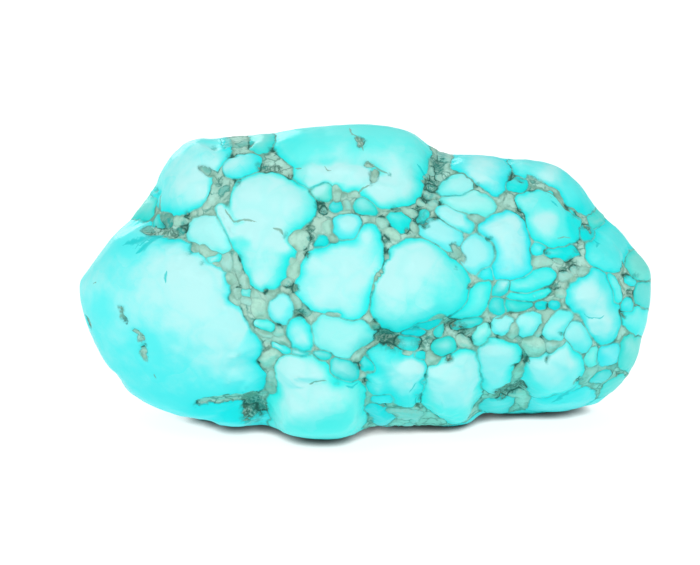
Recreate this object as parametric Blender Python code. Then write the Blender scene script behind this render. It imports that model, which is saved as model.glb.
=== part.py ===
"""Raw turquoise nugget: one natural stone of nodules grown together in a lower matrix.

The stone is laid out in face coordinates, in millimetres: across runs to the right, up runs up
the front face, which leans back by FACE_TILT, and out stands square to it, towards the front.
A rim curve and two depths give the body. Nodules swell from it, the matrix between them lies
lower, and a few broad valleys part the main lobes. The underside is cut flat where it rests.
"""

import math

import bmesh
import bpy
import numpy as np
from mathutils import Vector, noise
from mathutils.bvhtree import BVHTree

MM = 0.001

# ---------------------------------------------------------------- driving dimensions, in mm
FACE_TILT = math.radians(15)
SET_BACK = 5.2  # puts the origin under the middle of the stone
CENTRE = (0.0, 14.0)  # across, up
FRONT_DEPTH = 12.0
BACK_DEPTH = 15.6
BOXINESS = 2.4  # 2 is an ellipse, more is squarer
NEAR_RIM = (math.radians(6), 9)  # the rim's small bends: their span, and how fast they fade inwards
OFF_RIM = (math.radians(24), 3)  # its broad bends
GROUND = 0.2  # height of the plane that the lowest lobes are worn flat to

# The widest line round the stone, clockwise from its left end: across, up, out.
RIM = [
    (-26.0, 13.4, -0.6), (-25.0, 15.7, -0.2), (-22.2, 19.3, 0.0), (-19.4, 23.1, 0.0),
    (-17.5, 26.0, 0.0), (-15.4, 27.3, 0.0), (-11.0, 27.8, 0.0), (-6.0, 28.3, 0.0),
    (-1.0, 28.7, 0.0), (3.0, 28.3, 0.0), (5.6, 27.1, 0.0), (8.0, 26.2, 0.0),
    (12.0, 25.9, 0.0), (16.2, 25.4, 0.0), (18.8, 24.0, 0.0), (21.2, 21.2, 0.0),
    (24.2, 18.1, 0.0), (26.2, 15.3, 0.0), (26.2, 12.8, -0.8), (25.4, 9.3, -2.6),
    (24.2, 5.7, -4.8), (21.3, 3.5, -6.8), (18.0, 2.5, -7.5), (14.2, 2.05, -7.0),
    (11.1, 2.1, -5.6), (9.3, 1.35, -3.6), (7.0, 1.1, -2.6), (4.0, 1.2, -1.6),
    (1.2, 0.95, -0.4), (-1.6, 0.3, 1.0), (-4.4, 0.05, 1.6), (-7.0, 0.45, 0.6),
    (-8.8, 1.2, -1.8), (-11.5, 1.1, -2.8), (-15.0, 1.55, -3.6), (-19.0, 2.95, -3.6),
    (-22.0, 5.05, -3.0), (-24.4, 8.8, -1.8),
]

# Cells of the block that becomes the body: along, through and up.
BLOCK_CELLS = (42, 23, 23)

# Nodules. Each is one or more blobs: across, up, half width, half height, turn in degrees.
FRONT_NODULES = {
    "left boulder": [(-19.4, 11.0, 9.4, 7.7, 0), (-13.4, 9.3, 3.4, 4.6, 0),
                     (-11.2, 7.6, 2.7, 1.9, 10), (-11.6, 5.4, 2.6, 1.7, 0),
                     (-18.2, 4.8, 7.2, 5.2, 0), (-22.4, 16.6, 4.4, 3.4, 45),
                     (-12.8, 1.4, 3.9, 2.1, -3)],
    "shoulder knob": [(-17.0, 23.7, 3.2, 3.1, 10), (-15.1, 26.8, 3.0, 2.3, -5),
                      (-17.6, 25.6, 2.8, 2.4, 0)],
    "lozenge": [(-11.4, 25.05, 1.35, 1.1, 15), (-10.5, 25.6, 0.8, 0.6, 10)],
    "tab": [(-9.35, 27.6, 1.05, 1.3, 0)],
    "pillow": [(-14.9, 19.2, 1.75, 1.2, -10), (-13.5, 18.5, 1.55, 1.15, -40)],
    "saddle": [(-9.3, 22.1, 3.3, 2.65, 0), (-6.7, 21.4, 2.4, 2.75, 0),
               (-12.3, 19.6, 2.4, 0.85, -55), (-9.3, 17.6, 2.2, 3.0, 0),
               (-9.0, 15.4, 1.9, 1.9, 0), (-6.95, 17.1, 1.25, 1.0, -30),
               (-10.9, 18.0, 1.5, 1.6, 0)],
    "olive": [(-7.65, 11.8, 1.03, 1.28, 5)],
    "rib": [(-5.95, 9.3, 1.05, 1.75, 10)],
    "egg": [(-2.1, 9.3, 2.75, 1.85, -5), (0.0, 9.3, 1.3, 0.95, 0)],
    "heart": [(-3.4, 14.5, 2.65, 3.2, 0), (-1.5, 14.0, 2.1, 3.25, 0),
              (0.0, 16.6, 1.7, 1.7, 0), (0.3, 18.4, 1.0, 1.35, 0)],
    "bean": [(-1.65, 19.45, 1.22, 1.38, 10)],
    "crown": [(-5.0, 27.7, 3.3, 2.5, 6), (-0.5, 28.0, 5.4, 2.9, 0),
              (3.6, 26.8, 3.3, 2.8, -25), (4.4, 24.8, 1.9, 1.7, -30),
              (-1.7, 24.3, 2.3, 1.6, 0), (-4.9, 24.4, 1.6, 1.4, 0),
              (2.3, 22.9, 2.75, 1.5, 0), (3.6, 24.0, 1.6, 1.6, 0)],
    "crown bead": [(3.05, 20.0, 1.0, 1.02, 0)],
    "kingpin": [(4.6, 15.0, 3.2, 3.45, 0), (3.2, 12.4, 2.9, 2.85, -15),
                (6.9, 14.2, 2.6, 2.3, -10), (5.5, 12.3, 2.3, 1.6, 25),
                (7.7, 12.6, 1.4, 1.6, -20)],
    "slat": [(10.3, 12.9, 0.95, 1.6, -20), (8.95, 11.4, 1.4, 0.85, 20)],
    "upper pair": [(8.25, 23.65, 1.5, 0.98, 5)],
    "upper pair, lower": [(9.9, 22.0, 1.9, 1.15, -15), (8.4, 22.2, 1.35, 0.75, 0)],
    "upper lath": [(7.6, 20.7, 1.3, 0.78, -30), (8.7, 19.95, 1.15, 0.85, -45)],
    "lower lath": [(6.3, 19.1, 1.5, 0.98, -25), (7.5, 18.5, 1.2, 0.88, -35)],
    "east bead": [(10.2, 17.1, 1.55, 1.8, -10)],
    "east": [(13.4, 17.8, 1.75, 3.3, 0), (12.0, 19.7, 1.9, 1.2, 10),
             (12.9, 15.6, 1.9, 1.1, 15)],
    "brow": [(11.3, 25.3, 1.9, 1.6, -15), (12.1, 23.8, 0.95, 1.0, 10),
             (9.2, 25.9, 2.0, 1.3, 5)],
    "shoulder": [(17.5, 19.8, 2.6, 2.15, -10), (15.3, 22.1, 1.55, 1.0, -20),
                 (16.6, 21.2, 2.1, 1.35, -35)],
    "ridge": [(17.4, 25.0, 3.2, 1.5, -15), (19.8, 23.0, 2.3, 1.4, -50)],
    "cap": [(22.3, 17.1, 2.1, 1.9, -10), (22.9, 19.1, 2.0, 1.5, -45)],
    "fin": [(15.7, 14.6, 1.75, 0.78, 10), (14.4, 14.1, 1.15, 0.72, 28)],
    "kidney": [(20.6, 12.9, 2.3, 1.9, -10), (21.0, 14.2, 1.3, 1.35, -20),
               (22.0, 10.6, 1.7, 2.2, -5)],
    "edge upper": [(25.7, 16.3, 1.3, 1.6, 22)],
    "edge middle": [(25.2, 10.6, 1.3, 1.2, -20)],
    "edge lower": [(24.7, 7.6, 1.4, 1.7, -15)],
    "pea": [(22.45, 7.45, 1.12, 0.95, 30)],
    "row, first": [(12.5, 10.1, 0.9, 0.8, 20)],
    "row, second": [(14.95, 10.4, 0.95, 0.9, 0)],
    "row, third": [(17.9, 10.4, 1.3, 0.72, 48)],
    "row, fourth": [(19.2, 9.3, 1.0, 1.18, 0)],
    "pear": [(12.5, 7.3, 1.75, 1.55, 0), (12.2, 5.4, 1.4, 1.75, -10)],
    "fist": [(16.4, 5.5, 2.1, 2.25, 0), (18.4, 6.6, 1.6, 2.0, 10), (17.5, 5.0, 2.2, 1.6, 0)],
    "hem": [(18.0, 2.9, 3.2, 1.45, 12)],
    "nose": [(-4.3, 2.3, 4.8, 3.6, 0), (-6.0, 5.6, 2.55, 1.95, 10), (-2.0, 3.0, 2.5, 2.2, -10)],
    "cheek": [(-1.7, 6.1, 1.75, 1.05, -25)],
    "barrel": [(2.2, 6.8, 1.6, 1.5, 0), (4.0, 5.0, 2.0, 2.7, 0), (1.4, 4.4, 0.9, 1.1, 0),
               (4.6, 6.0, 1.3, 1.2, 0)],
    "toe": [(8.3, 4.8, 2.5, 3.05, -5), (8.0, 2.2, 2.9, 2.3, 5), (9.3, 6.0, 1.5, 1.9, 0)],
}

# The same, on the face that looks the other way.
BACK_NODULES = {
    "far boulder": [(-17.6, 12.6, 3.9, 4.9, 10), (-16.6, 7.4, 3.4, 3.0, -10)],
    "far shoulder": [(-13.8, 21.8, 3.9, 3.3, -15), (-10.8, 23.4, 2.4, 2.1, 0)],
    "big loaf": [(-9.6, 14.3, 4.1, 3.7, 20), (-7.2, 11.6, 2.9, 2.5, 0)],
    "heel": [(-10.2, 5.6, 3.4, 2.9, 5)],
    "tall cob": [(-4.3, 20.6, 2.9, 3.9, 10)],
    "anvil": [(-1.9, 7.9, 3.9, 4.2, -10), (0.9, 5.4, 2.7, 2.3, 0)],
    "plum": [(-2.4, 14.9, 1.9, 1.7, 0)],
    "back king": [(3.3, 15.4, 3.5, 4.1, 20), (4.5, 19.2, 2.3, 2.1, 0)],
    "back crown": [(2.0, 24.4, 4.3, 2.5, 0)],
    "post": [(6.9, 8.0, 2.7, 3.8, -5)],
    "ledge": [(9.7, 22.8, 3.1, 2.1, -15)],
    "shield": [(10.4, 15.3, 2.9, 3.5, -20)],
    "bun": [(13.0, 7.3, 3.1, 2.9, 10)],
    "pod": [(16.8, 12.8, 2.5, 3.6, 0), (15.9, 16.6, 2.0, 1.7, 0)],
    "back shoulder": [(15.6, 21.3, 3.1, 2.3, -20)],
    "back corner": [(20.7, 8.4, 2.8, 3.3, 0)],
    "back cap": [(21.6, 16.0, 2.5, 3.5, 15)],
    "sole": [(7.4, 2.6, 2.6, 1.4, 0)],
    "back hem": [(16.9, 3.7, 3.6, 1.5, 10)],
    "chip a": [(-5.6, 16.6, 1.2, 1.0, 20)],
    "chip b": [(-6.3, 6.2, 1.1, 1.5, 10)],
    "chip c": [(-13.6, 10.0, 1.1, 1.6, 15)],
    "chip d": [(-14.3, 16.9, 1.7, 1.2, -30)],
    "chip e": [(-7.1, 25.2, 1.2, 1.0, 0)],
    "chip f": [(-0.2, 19.5, 1.1, 1.4, 0)],
    "chip g": [(6.8, 12.6, 1.2, 1.0, 30)],
    "chip h": [(7.7, 18.9, 1.3, 1.0, -30)],
    "chip i": [(12.9, 11.3, 1.3, 0.9, 0)],
    "chip j": [(12.4, 19.0, 1.2, 1.1, 0)],
    "chip k": [(18.9, 18.9, 1.3, 1.0, -40)],
    "chip l": [(19.0, 12.2, 0.9, 1.4, 0)],
}

# Lobes of the underside, as across, out, half width, half depth, turn.
UNDER_NODULES = {
    "left sole": [(-15.5, -6.0, 5.6, 4.6, 10)],
    "left toe": [(-21.5, -3.6, 3.2, 3.6, 0)],
    "middle sole": [(-4.4, -3.8, 4.7, 4.9, 0)],
    "middle heel": [(-7.6, -10.6, 2.9, 2.3, 0)],
    "inner pad": [(3.3, -5.6, 2.7, 3.2, 0)],
    "right pad": [(8.6, -5.4, 2.5, 3.1, 0)],
    "right sole": [(15.6, -8.6, 3.9, 3.0, -5)],
    "right toe": [(21.4, -7.4, 2.2, 2.8, 10)],
    "hind pad": [(1.2, -11.2, 3.3, 2.2, 10)],
}

# Nodules of the top, as across, out, half width, half depth, turn.
TOP_NODULES = {
    "left roof": [(-15.9, -4.6, 2.1, 2.6, 20)],
    "left roof, inner": [(-12.1, -2.2, 1.6, 1.8, 0)],
    "mid roof": [(-9.6, -6.3, 2.3, 2.0, -20)],
    "mid roof, front": [(-7.9, -1.9, 1.5, 1.7, 10)],
    "crown roof": [(-3.6, -6.2, 2.5, 2.1, 25)],
    "crown roof, right": [(1.6, -5.2, 2.6, 1.9, -15)],
    "crown roof, end": [(5.6, -6.6, 1.7, 2.2, 10)],
    "right roof": [(8.7, -2.4, 1.9, 1.6, 10)],
    "right roof, back": [(10.6, -6.1, 2.4, 1.9, -10)],
    "far right roof": [(13.4, -2.9, 1.9, 1.8, 20)],
    "far right roof, back": [(16.6, -5.6, 2.3, 2.5, 0)],
    "right shoulder roof": [(18.9, -1.9, 1.9, 1.6, -30)],
}

# Relief of the nodules over the matrix.
MATRIX_DEPTH = 0.75
RIM_SHARE = 0.3  # of the relief is left at the rim, whose line already has its bumps
RIM_BAND = 3.0
RISE_PER_SIZE = 0.22
LEAST_RISE = 0.25
MOST_RISE = 1.05
SHOULDER_PER_SIZE = 0.9
LEAST_SHOULDER = 1.1
MOST_SHOULDER = 2.6
SEAM_ROUNDING = 0.6  # keeps the bottom of a seam open
BLEND_WIDTH = 0.33  # over which the blobs of one nodule run together
OVERHANG = 1.1  # how far a nodule runs round the rim, as a share of its size
CROWDING = 1.2  # swells the nodules away from the front until they meet
THROUGH_REACH = 6.0  # how deep the nodules of the top and the underside reach

# Broad valleys of the front, as across and up, each with its depth and half width.
VALLEYS = [
    ([(-9.6, 1.2), (-8.9, 4.4), (-8.4, 7.2), (-9.7, 11.2), (-12.2, 15.4), (-16.0, 18.2),
      (-19.5, 20.2)], 0.55, 1.3),
    ([(0.5, 0.9), (0.3, 4.6), (0.4, 7.4), (2.0, 9.0)], 0.6, 1.1),
    ([(0.6, 8.4), (2.0, 9.0), (5.0, 9.5), (8.6, 10.2)], 0.6, 1.3),
    ([(8.6, 10.2), (12.6, 11.1), (17.2, 11.9)], 0.3, 1.3),
    ([(10.7, 1.9), (10.5, 5.0), (10.6, 8.0)], 0.5, 0.9),
    ([(5.9, 1.4), (5.8, 4.5), (6.2, 7.6)], 0.35, 0.8),
    ([(14.2, 2.2), (14.3, 4.4), (14.6, 8.4)], 0.4, 0.9),
    ([(-6.2, 23.8), (-3.6, 21.6), (0.4, 20.9), (4.2, 21.0), (6.2, 22.8), (7.0, 25.6)], 0.45, 1.1),
    ([(-14.0, 27.0), (-13.2, 22.8), (-15.6, 20.4)], 0.4, 0.9),
    ([(8.6, 16.4), (10.2, 14.4), (12.6, 12.4)], 0.3, 0.9),
]

# Broad swells of the front: across, up, radius, rise.
SWELLS = [
    (4.4, 14.0, 4.6, 1.1),
    (-3.0, 14.2, 3.6, 0.4),
    (17.0, 5.6, 3.2, 0.5),
    (8.3, 4.6, 3.0, 0.5),
    (-8.4, 21.4, 4.0, 0.5),
]

# Slow unevenness of the whole body.
LUMP_SPAN = 9.0
LUMP_RISE = 0.55


def to_world(face):
    """Face coordinates in mm, as rows of across, up and out, to world coordinates in mm."""
    across, up, out = face.T
    return np.column_stack([
        across,
        up * math.sin(FACE_TILT) - out * math.cos(FACE_TILT) - SET_BACK,
        up * math.cos(FACE_TILT) + out * math.sin(FACE_TILT),
    ])


def smooth_loop(points, steps):
    """A closed Catmull-Rom curve through the points, with this many steps between two of them."""
    knots = np.array(points)
    before = np.roll(knots, 1, axis=0)
    after = np.roll(knots, -1, axis=0)
    beyond = np.roll(knots, -2, axis=0)
    rows = []
    for t in np.arange(steps) / steps:
        rows.append(0.5 * (
            2 * knots
            + (after - before) * t
            + (2 * before - 5 * knots + 4 * after - beyond) * t**2
            + (3 * knots - before - 3 * after + beyond) * t**3
        ))
    return np.stack(rows, axis=1).reshape(-1, knots.shape[1])


def oval_radius(angle):
    """Radius of the plain oval as long and as high as the rim."""
    length = max(abs(point[0]) for point in RIM)
    height = max(point[1] for point in RIM) - CENTRE[1]
    return 1 / np.hypot(np.cos(angle) / length, np.sin(angle) / height)


def rim_by_angle():
    """At even angles round the centre: the rim's radius, two smoother ones, and its out."""
    curve = smooth_loop(RIM, 8)
    across = curve[:, 0] - CENTRE[0]
    up = curve[:, 1] - CENTRE[1]
    found = np.arctan2(up, across)
    order = np.argsort(found)
    angle = np.linspace(-math.pi, math.pi, 720, endpoint=False)
    turn = 2 * math.pi
    radius = np.interp(angle, found[order], np.hypot(across, up)[order], period=turn)
    out = np.interp(angle, found[order], curve[order, 2], period=turn)
    oval = oval_radius(angle)
    return {
        "angle": angle,
        "radius": radius,
        "near": oval * evened(angle, radius / oval, NEAR_RIM[0]),
        "even": oval * evened(angle, radius / oval, OFF_RIM[0]),
        "out": evened(angle, out, NEAR_RIM[0]),
    }


def evened(angle, values, span):
    """Values round the rim, each one the mean of those within about this span."""
    apart = (angle[:, None] - angle + math.pi) % (2 * math.pi) - math.pi
    weight = np.exp(-(apart / span) ** 2)
    return weight @ values / weight.sum(axis=1)


def rim_at(angle, table, what):
    return np.interp(angle, table["angle"], table[what], period=2 * math.pi)


def rim_out_at(points, table):
    """The rim's out in the direction of each point from the centre."""
    return rim_at(np.arctan2(points[:, 1] - CENTRE[1], points[:, 0] - CENTRE[0]), table, "out")


def block_mesh():
    """A cube cut into cells, finer along the stone than across it."""
    bm = bmesh.new()
    bmesh.ops.create_cube(bm, size=2)
    for axis, cells in enumerate(BLOCK_CELLS):
        normal = Vector((axis == 0, axis == 1, axis == 2))
        for cut in range(1, cells):
            place = normal * (2 * cut / cells - 1)
            geometry = bm.verts[:] + bm.edges[:] + bm.faces[:]
            bmesh.ops.bisect_plane(bm, geom=geometry, plane_co=place, plane_no=normal)
    return bm


def body_points(block, table):
    """The block's corners moved onto the smooth body, in face coordinates."""
    spread = np.tan(block * math.pi / 4)  # cells of even angle
    ball = spread / np.linalg.norm(spread, axis=1, keepdims=True)
    across, depth, up = ball.T
    out = -depth
    stretch = oval_radius(0.0) / oval_radius(math.pi / 2)
    angle = np.arctan2(up, across * stretch)
    reach = np.hypot(across, up) ** (2 / BOXINESS)
    radius = rim_at(angle, table, "radius")
    near = rim_at(angle, table, "near")
    even = rim_at(angle, table, "even")
    radius = even + (near - even) * reach ** OFF_RIM[1] + (radius - near) * reach ** NEAR_RIM[1]
    thick = np.where(out > 0, FRONT_DEPTH, BACK_DEPTH) * np.abs(out) ** (2 / BOXINESS)
    return np.column_stack([
        CENTRE[0] + radius * reach * np.cos(angle),
        CENTRE[1] + radius * reach * np.sin(angle),
        rim_at(angle, table, "out") * reach**2 + np.sign(out) * thick,
    ])


def vertex_normals(bm):
    bm.normal_update()
    return np.array([vert.normal for vert in bm.verts])


def move_to(bm, points):
    for vert, point in zip(bm.verts, points):
        vert.co = point


def past_rim(points, table, side):
    """How far each point lies beyond the rim, seen from the front (side 1) or the back (-1)."""
    return np.maximum(0.0, side * (rim_out_at(points, table) - points[:, 2]))


def blob_depth(offsets, normals, sizes, turn):
    """Distance inside one blob, along the surface. offsets holds its two plane axes and a third."""
    cosine, sine = math.cos(math.radians(turn)), math.sin(math.radians(turn))
    first = (offsets[:, 0] * cosine + offsets[:, 1] * sine) / sizes[0]
    second = (-offsets[:, 0] * sine + offsets[:, 1] * cosine) / sizes[1]
    third = offsets[:, 2] / sizes[2]
    reach = np.sqrt(first**2 + second**2 + third**2) + 1e-9
    slope = np.column_stack([
        (first * cosine / sizes[0] - second * sine / sizes[1]) / reach,
        (first * sine / sizes[0] + second * cosine / sizes[1]) / reach,
        third / sizes[2] / reach,
    ])
    slope -= normals * np.sum(slope * normals, axis=1, keepdims=True)
    return (1 - reach) / np.maximum(np.linalg.norm(slope, axis=1), 0.25 / max(sizes[:2]))


def surface_spot(tree, across, other, side):
    """The point of the body under a blob of the top (side 1) or the underside (side -1)."""
    start = Vector((across, CENTRE[1] + side * 40, other))
    return np.array(tree.ray_cast(start, Vector((0, -side, 0)))[0])


def nodule_depths(points, normals, tree, table):
    """For each nodule, its size and the depth of every point inside it."""
    found = []
    for nodules, side, swell in ((FRONT_NODULES, 1, 1.0), (BACK_NODULES, -1, CROWDING)):
        beyond = past_rim(points, table, side)
        for blobs in nodules.values():
            size = max(math.sqrt(blob[2] * blob[3]) for blob in blobs)
            depths = []
            for across, up, wide, high, turn in blobs:
                offsets = np.column_stack([points[:, 0] - across, points[:, 1] - up, -side * beyond])
                sizes = (wide * swell, high * swell, OVERHANG * size + 0.4)
                depths.append(blob_depth(offsets, normals, sizes, turn))
            found.append((size, depths))
    for nodules, side in ((TOP_NODULES, 1), (UNDER_NODULES, -1)):
        for blobs in nodules.values():
            size = max(math.sqrt(blob[2] * blob[3]) for blob in blobs)
            depths = []
            for across, other, wide, deep, turn in blobs:
                spot = surface_spot(tree, across, other, side)
                offsets = (points - spot)[:, [0, 2, 1]]
                sizes = (wide * CROWDING, deep * CROWDING, THROUGH_REACH)
                depths.append(blob_depth(offsets, normals[:, [0, 2, 1]], sizes, turn))
            found.append((size, depths))
    return [(size, smooth_most(np.array(depths))) for size, depths in found]


def smooth_most(depths):
    """The largest of several depths, run together where they are nearly equal."""
    most = depths.max(axis=0)
    return most + BLEND_WIDTH * np.log(np.exp((depths - most) / BLEND_WIDTH).sum(axis=0))


def nodule_relief(nodules):
    """Height of the surface over the smooth body: nodules above, matrix below."""
    depths = np.array([depth for _, depth in nodules])
    sizes = np.array([size for size, _ in nodules])
    order = np.argsort(depths, axis=0)
    rows = np.arange(depths.shape[1])
    nearest = depths[order[-1], rows]
    second = depths[order[-2], rows]
    size = sizes[order[-1]]
    inside = np.maximum(np.minimum(nearest, (nearest - second) / 2), 0.0)
    inside = np.sqrt(inside**2 + SEAM_ROUNDING**2) - SEAM_ROUNDING
    rise = np.clip(RISE_PER_SIZE * size, LEAST_RISE, MOST_RISE)
    shoulder = np.clip(SHOULDER_PER_SIZE * size, LEAST_SHOULDER, MOST_SHOULDER)
    share = np.clip(inside / shoulder, 0.0, 1.0)
    return rise * (1 - (1 - share) ** 2) - MATRIX_DEPTH


def line_distance(points, line):
    """Distance in the face plane from each point to a line of straight runs."""
    best = np.full(len(points), np.inf)
    for start, end in zip(line, line[1:]):
        start, along = np.array(start), np.array(end) - np.array(start)
        offset = points[:, :2] - start
        share = np.clip(offset @ along / (along @ along), 0.0, 1.0)
        best = np.minimum(best, np.linalg.norm(offset - share[:, None] * along, axis=1))
    return best


def broad_relief(points, table):
    """Valleys and swells of the front, and the slow unevenness of the whole body."""
    behind = past_rim(points, table, 1)
    fade = np.exp(-(behind / 3.0) ** 2)
    height = np.zeros(len(points))
    for line, depth, half_width in VALLEYS:
        height -= depth * fade * np.exp(-(line_distance(points, line) / half_width) ** 2)
    for across, up, radius, rise in SWELLS:
        distance = np.hypot(points[:, 0] - across, points[:, 1] - up)
        height += rise * fade * np.exp(-(distance / radius) ** 2)
    slow = np.array([noise.noise(Vector(point) / LUMP_SPAN) for point in points])
    return height + LUMP_RISE * slow


def rest_flat(world):
    """The stone let down to the ground, its lowest lobes worn to one plane."""
    world[:, 2] = np.maximum(world[:, 2] - GROUND, 0.0)
    return world


def turquoise_material():
    """Waxy sky-blue turquoise, the middle of the nodules' colours."""
    material = bpy.data.materials.new("turquoise")
    material.use_nodes = True
    shader = material.node_tree.nodes["Principled BSDF"]
    shader.inputs["Base Color"].default_value = (0.22, 0.80, 0.76, 1.0)
    shader.inputs["Roughness"].default_value = 0.35
    shader.inputs["Metallic"].default_value = 0.0
    return material


def make_nugget():
    table = rim_by_angle()
    bm = block_mesh()
    block = np.array([vert.co for vert in bm.verts])
    points = body_points(block, table)
    move_to(bm, points)
    normals = vertex_normals(bm)
    tree = BVHTree.FromBMesh(bm)
    nodules = nodule_depths(points, normals, tree, table)
    from_rim = points[:, 2] - rim_out_at(points, table)
    share = 1 - (1 - RIM_SHARE) * np.exp(-(from_rim / RIM_BAND) ** 2)
    height = share * (nodule_relief(nodules) + broad_relief(points, table))
    points = points + normals * height[:, None]
    world = rest_flat(to_world(points))
    move_to(bm, world * MM)
    bmesh.ops.recalc_face_normals(bm, faces=bm.faces)
    bmesh.ops.triangulate(bm, faces=bm.faces, quad_method="SHORT_EDGE")
    mesh = bpy.data.meshes.new("turquoise_nugget")
    bm.to_mesh(mesh)
    bm.free()
    mesh.shade_smooth()
    mesh.materials.append(turquoise_material())
    nugget = bpy.data.objects.new("turquoise_nugget", mesh)
    bpy.context.scene.collection.objects.link(nugget)
    return nugget


for old in list(bpy.data.objects):
    bpy.data.objects.remove(old, do_unlink=True)
make_nugget()
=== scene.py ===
import math
import random

import bmesh
import bpy
import numpy as np
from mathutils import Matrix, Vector, noise
from mathutils.bvhtree import BVHTree


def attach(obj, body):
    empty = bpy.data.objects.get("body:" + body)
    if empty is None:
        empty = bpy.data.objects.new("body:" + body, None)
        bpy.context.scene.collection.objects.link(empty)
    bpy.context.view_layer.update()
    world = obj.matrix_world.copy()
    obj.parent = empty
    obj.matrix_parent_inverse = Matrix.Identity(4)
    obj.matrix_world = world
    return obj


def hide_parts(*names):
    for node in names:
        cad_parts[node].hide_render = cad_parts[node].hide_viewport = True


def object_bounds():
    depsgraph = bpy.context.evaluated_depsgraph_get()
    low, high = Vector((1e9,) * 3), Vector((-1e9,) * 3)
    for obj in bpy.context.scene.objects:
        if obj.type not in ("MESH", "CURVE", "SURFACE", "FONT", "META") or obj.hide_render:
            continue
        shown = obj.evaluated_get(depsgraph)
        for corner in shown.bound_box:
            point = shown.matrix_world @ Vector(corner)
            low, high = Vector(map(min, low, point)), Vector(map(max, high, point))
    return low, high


# Raw turquoise nugget: rounded nodules grown together in a lower, pebbly matrix.
# The stone is laid out in face coordinates, in millimetres: across to the right, up along the
# front face, which leans back, and out towards the front.

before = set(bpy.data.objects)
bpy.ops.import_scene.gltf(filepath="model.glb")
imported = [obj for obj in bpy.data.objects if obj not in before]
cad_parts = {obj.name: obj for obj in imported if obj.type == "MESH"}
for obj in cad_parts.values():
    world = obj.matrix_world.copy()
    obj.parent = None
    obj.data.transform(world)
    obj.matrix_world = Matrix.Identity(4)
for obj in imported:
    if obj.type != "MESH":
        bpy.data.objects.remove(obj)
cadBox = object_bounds()
mm = 0.001

nugget = {  # mm where nothing else is said
    "faceTilt": 15,  # degrees
    "setBack": 5.2,  # puts the origin under the middle
    "ground": 0.2,  # the plane that the lowest lobes are worn flat to
    "centre": (0.0, 14.0),  # across, up
    "frontDepth": 12.0,
    "backDepth": 15.6,
    "boxiness": 2.4,  # 2 is an ellipse, more is squarer
    "nearRim": (6, 9),  # degrees that the rim's small bends span, and how fast they fade inwards
    "offRim": (24, 3),  # the same for its broad bends
    "rimSteps": 8,  # between the knots of the rim
    "rimAngles": 720,
    "cells": (50, 20, 27),  # of the block: along, through, up
    "cuts": 3,  # in each side of a cell
    "ease": 0.25,  # over which the surface is held inside the solid's reach

    # the nodules' relief
    "matrixDepth": 0.75,  # under the smooth body
    "rimShare": 0.3,  # of the relief is left at the rim, whose line already has its bumps
    "rimBand": 3.0,
    "risePerSize": 0.22,
    "rise": (0.25, 1.05),  # least and most
    "shoulderPerSize": 0.9,
    "shoulder": (0.8, 2.6),
    "seamRounding": 0.32,
    "wave": (3.0, 0.09, 7.0),  # span, height and shift of the nodules' own unevenness
    "ripple": (0.9, 0.025, 3.0),
    "grain": (0.5, 0.1),  # span and height of the matrix's
    "lump": (9.0, 0.55),  # and of the whole body's
    "solid": 0.5,  # how far inside a nodule its own is there in full
    "frontFade": 3.0,  # behind the rim, of valleys, swells and the front's looks

    # the nodules' outlines
    "swell": (0.09, 0.2, 0.05),  # added to the front's large ones, its small ones, and all others
    "swellSizes": (2.4, 1.2),  # of a large nodule and of a small one
    "blendWidth": 0.33,  # over which the blobs of one nodule run together
    "leastSlope": 0.25,  # of a blob's depth along the surface
    "overhang": (1.1, 0.4),  # how far a nodule runs round the rim: a share of its size, and mm
    "crowding": 1.07,  # widens the nodules away from the front
    "throughReach": 6.0,  # depth of the top's and the underside's
    "rayStart": 40,  # off the middle, from where the top and the underside are met
    "warps": [(2.1, 0.34), (0.65, 0.13)],  # span and push that bend the outlines
    "backWarp": (4.5, 1.5),  # added away from the front,
    "backWarpFrom": 4.0,  # in full from this far behind the rim
    "warpSeed": 2,
    "families": 9,  # nodules that touch are in different ones, each with its own smooth field
    "clearance": 0.45,  # between two of a family
    "margin": 1.6,  # how far round a nodule its field reaches
    "farOff": -6.0,  # the depth given where no nodule is near
    "shadeBearing": -52,  # degrees, towards a nodule's shaded side: painted shade there, painted light on its upper left side
    "shadeWander": 25,  # degrees that it may be off,
    "backWander": 6,  # and how many times more on the back

    # the filling between them
    "pebbleSeed": 11,
    "pebbleGaps": (0.95, 0.65, 0.45, 0.32),  # half widths of the gaps filled, widest first
    "frontPebble": 0.3,  # widest half width of the filling on the front
    "frontEdge": 0.5,  # behind the rim, still filled as the front
    "pebbleFill": (0.8, 1.15),  # half width as a share of the gap's, least and most,
    "pebbleWidest": (0.8, 1.2),  # and of the widest there
    "pebbleSlim": (0.55, 0.95),  # the other half width as a share of it
    "pebbleThick": 1.5,

    # pools, cracks and pits
    "markEdge": 1.0,  # behind the rim, where pools and cracks end
    "spotFade": 2.0,  # behind the rim, of pits and clouds
    "poolDepth": 0.22,
    "poolEase": 0.15,  # over which a pool sets in
    "crackDepth": 0.05,
    "crackGroove": (0.2, 0.06),  # its half width, and the crack's own where it is deepest
    "crackTaper": 4,  # over one part in so many of its length, at both ends
    "crackReach": (0.55, 0.2),  # from a crack to where its width is nil, and over which it goes
    "crackless": 9.0,  # the distance given where no crack is near
    "pitDepth": 0.3,
    "pitMost": 1.2,  # where pits add up
    "pitOnNodule": 0.5,  # how much shallower they are than in the matrix
    "stainSpread": 1.5,  # the stain is wider than its hollow
}

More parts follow.
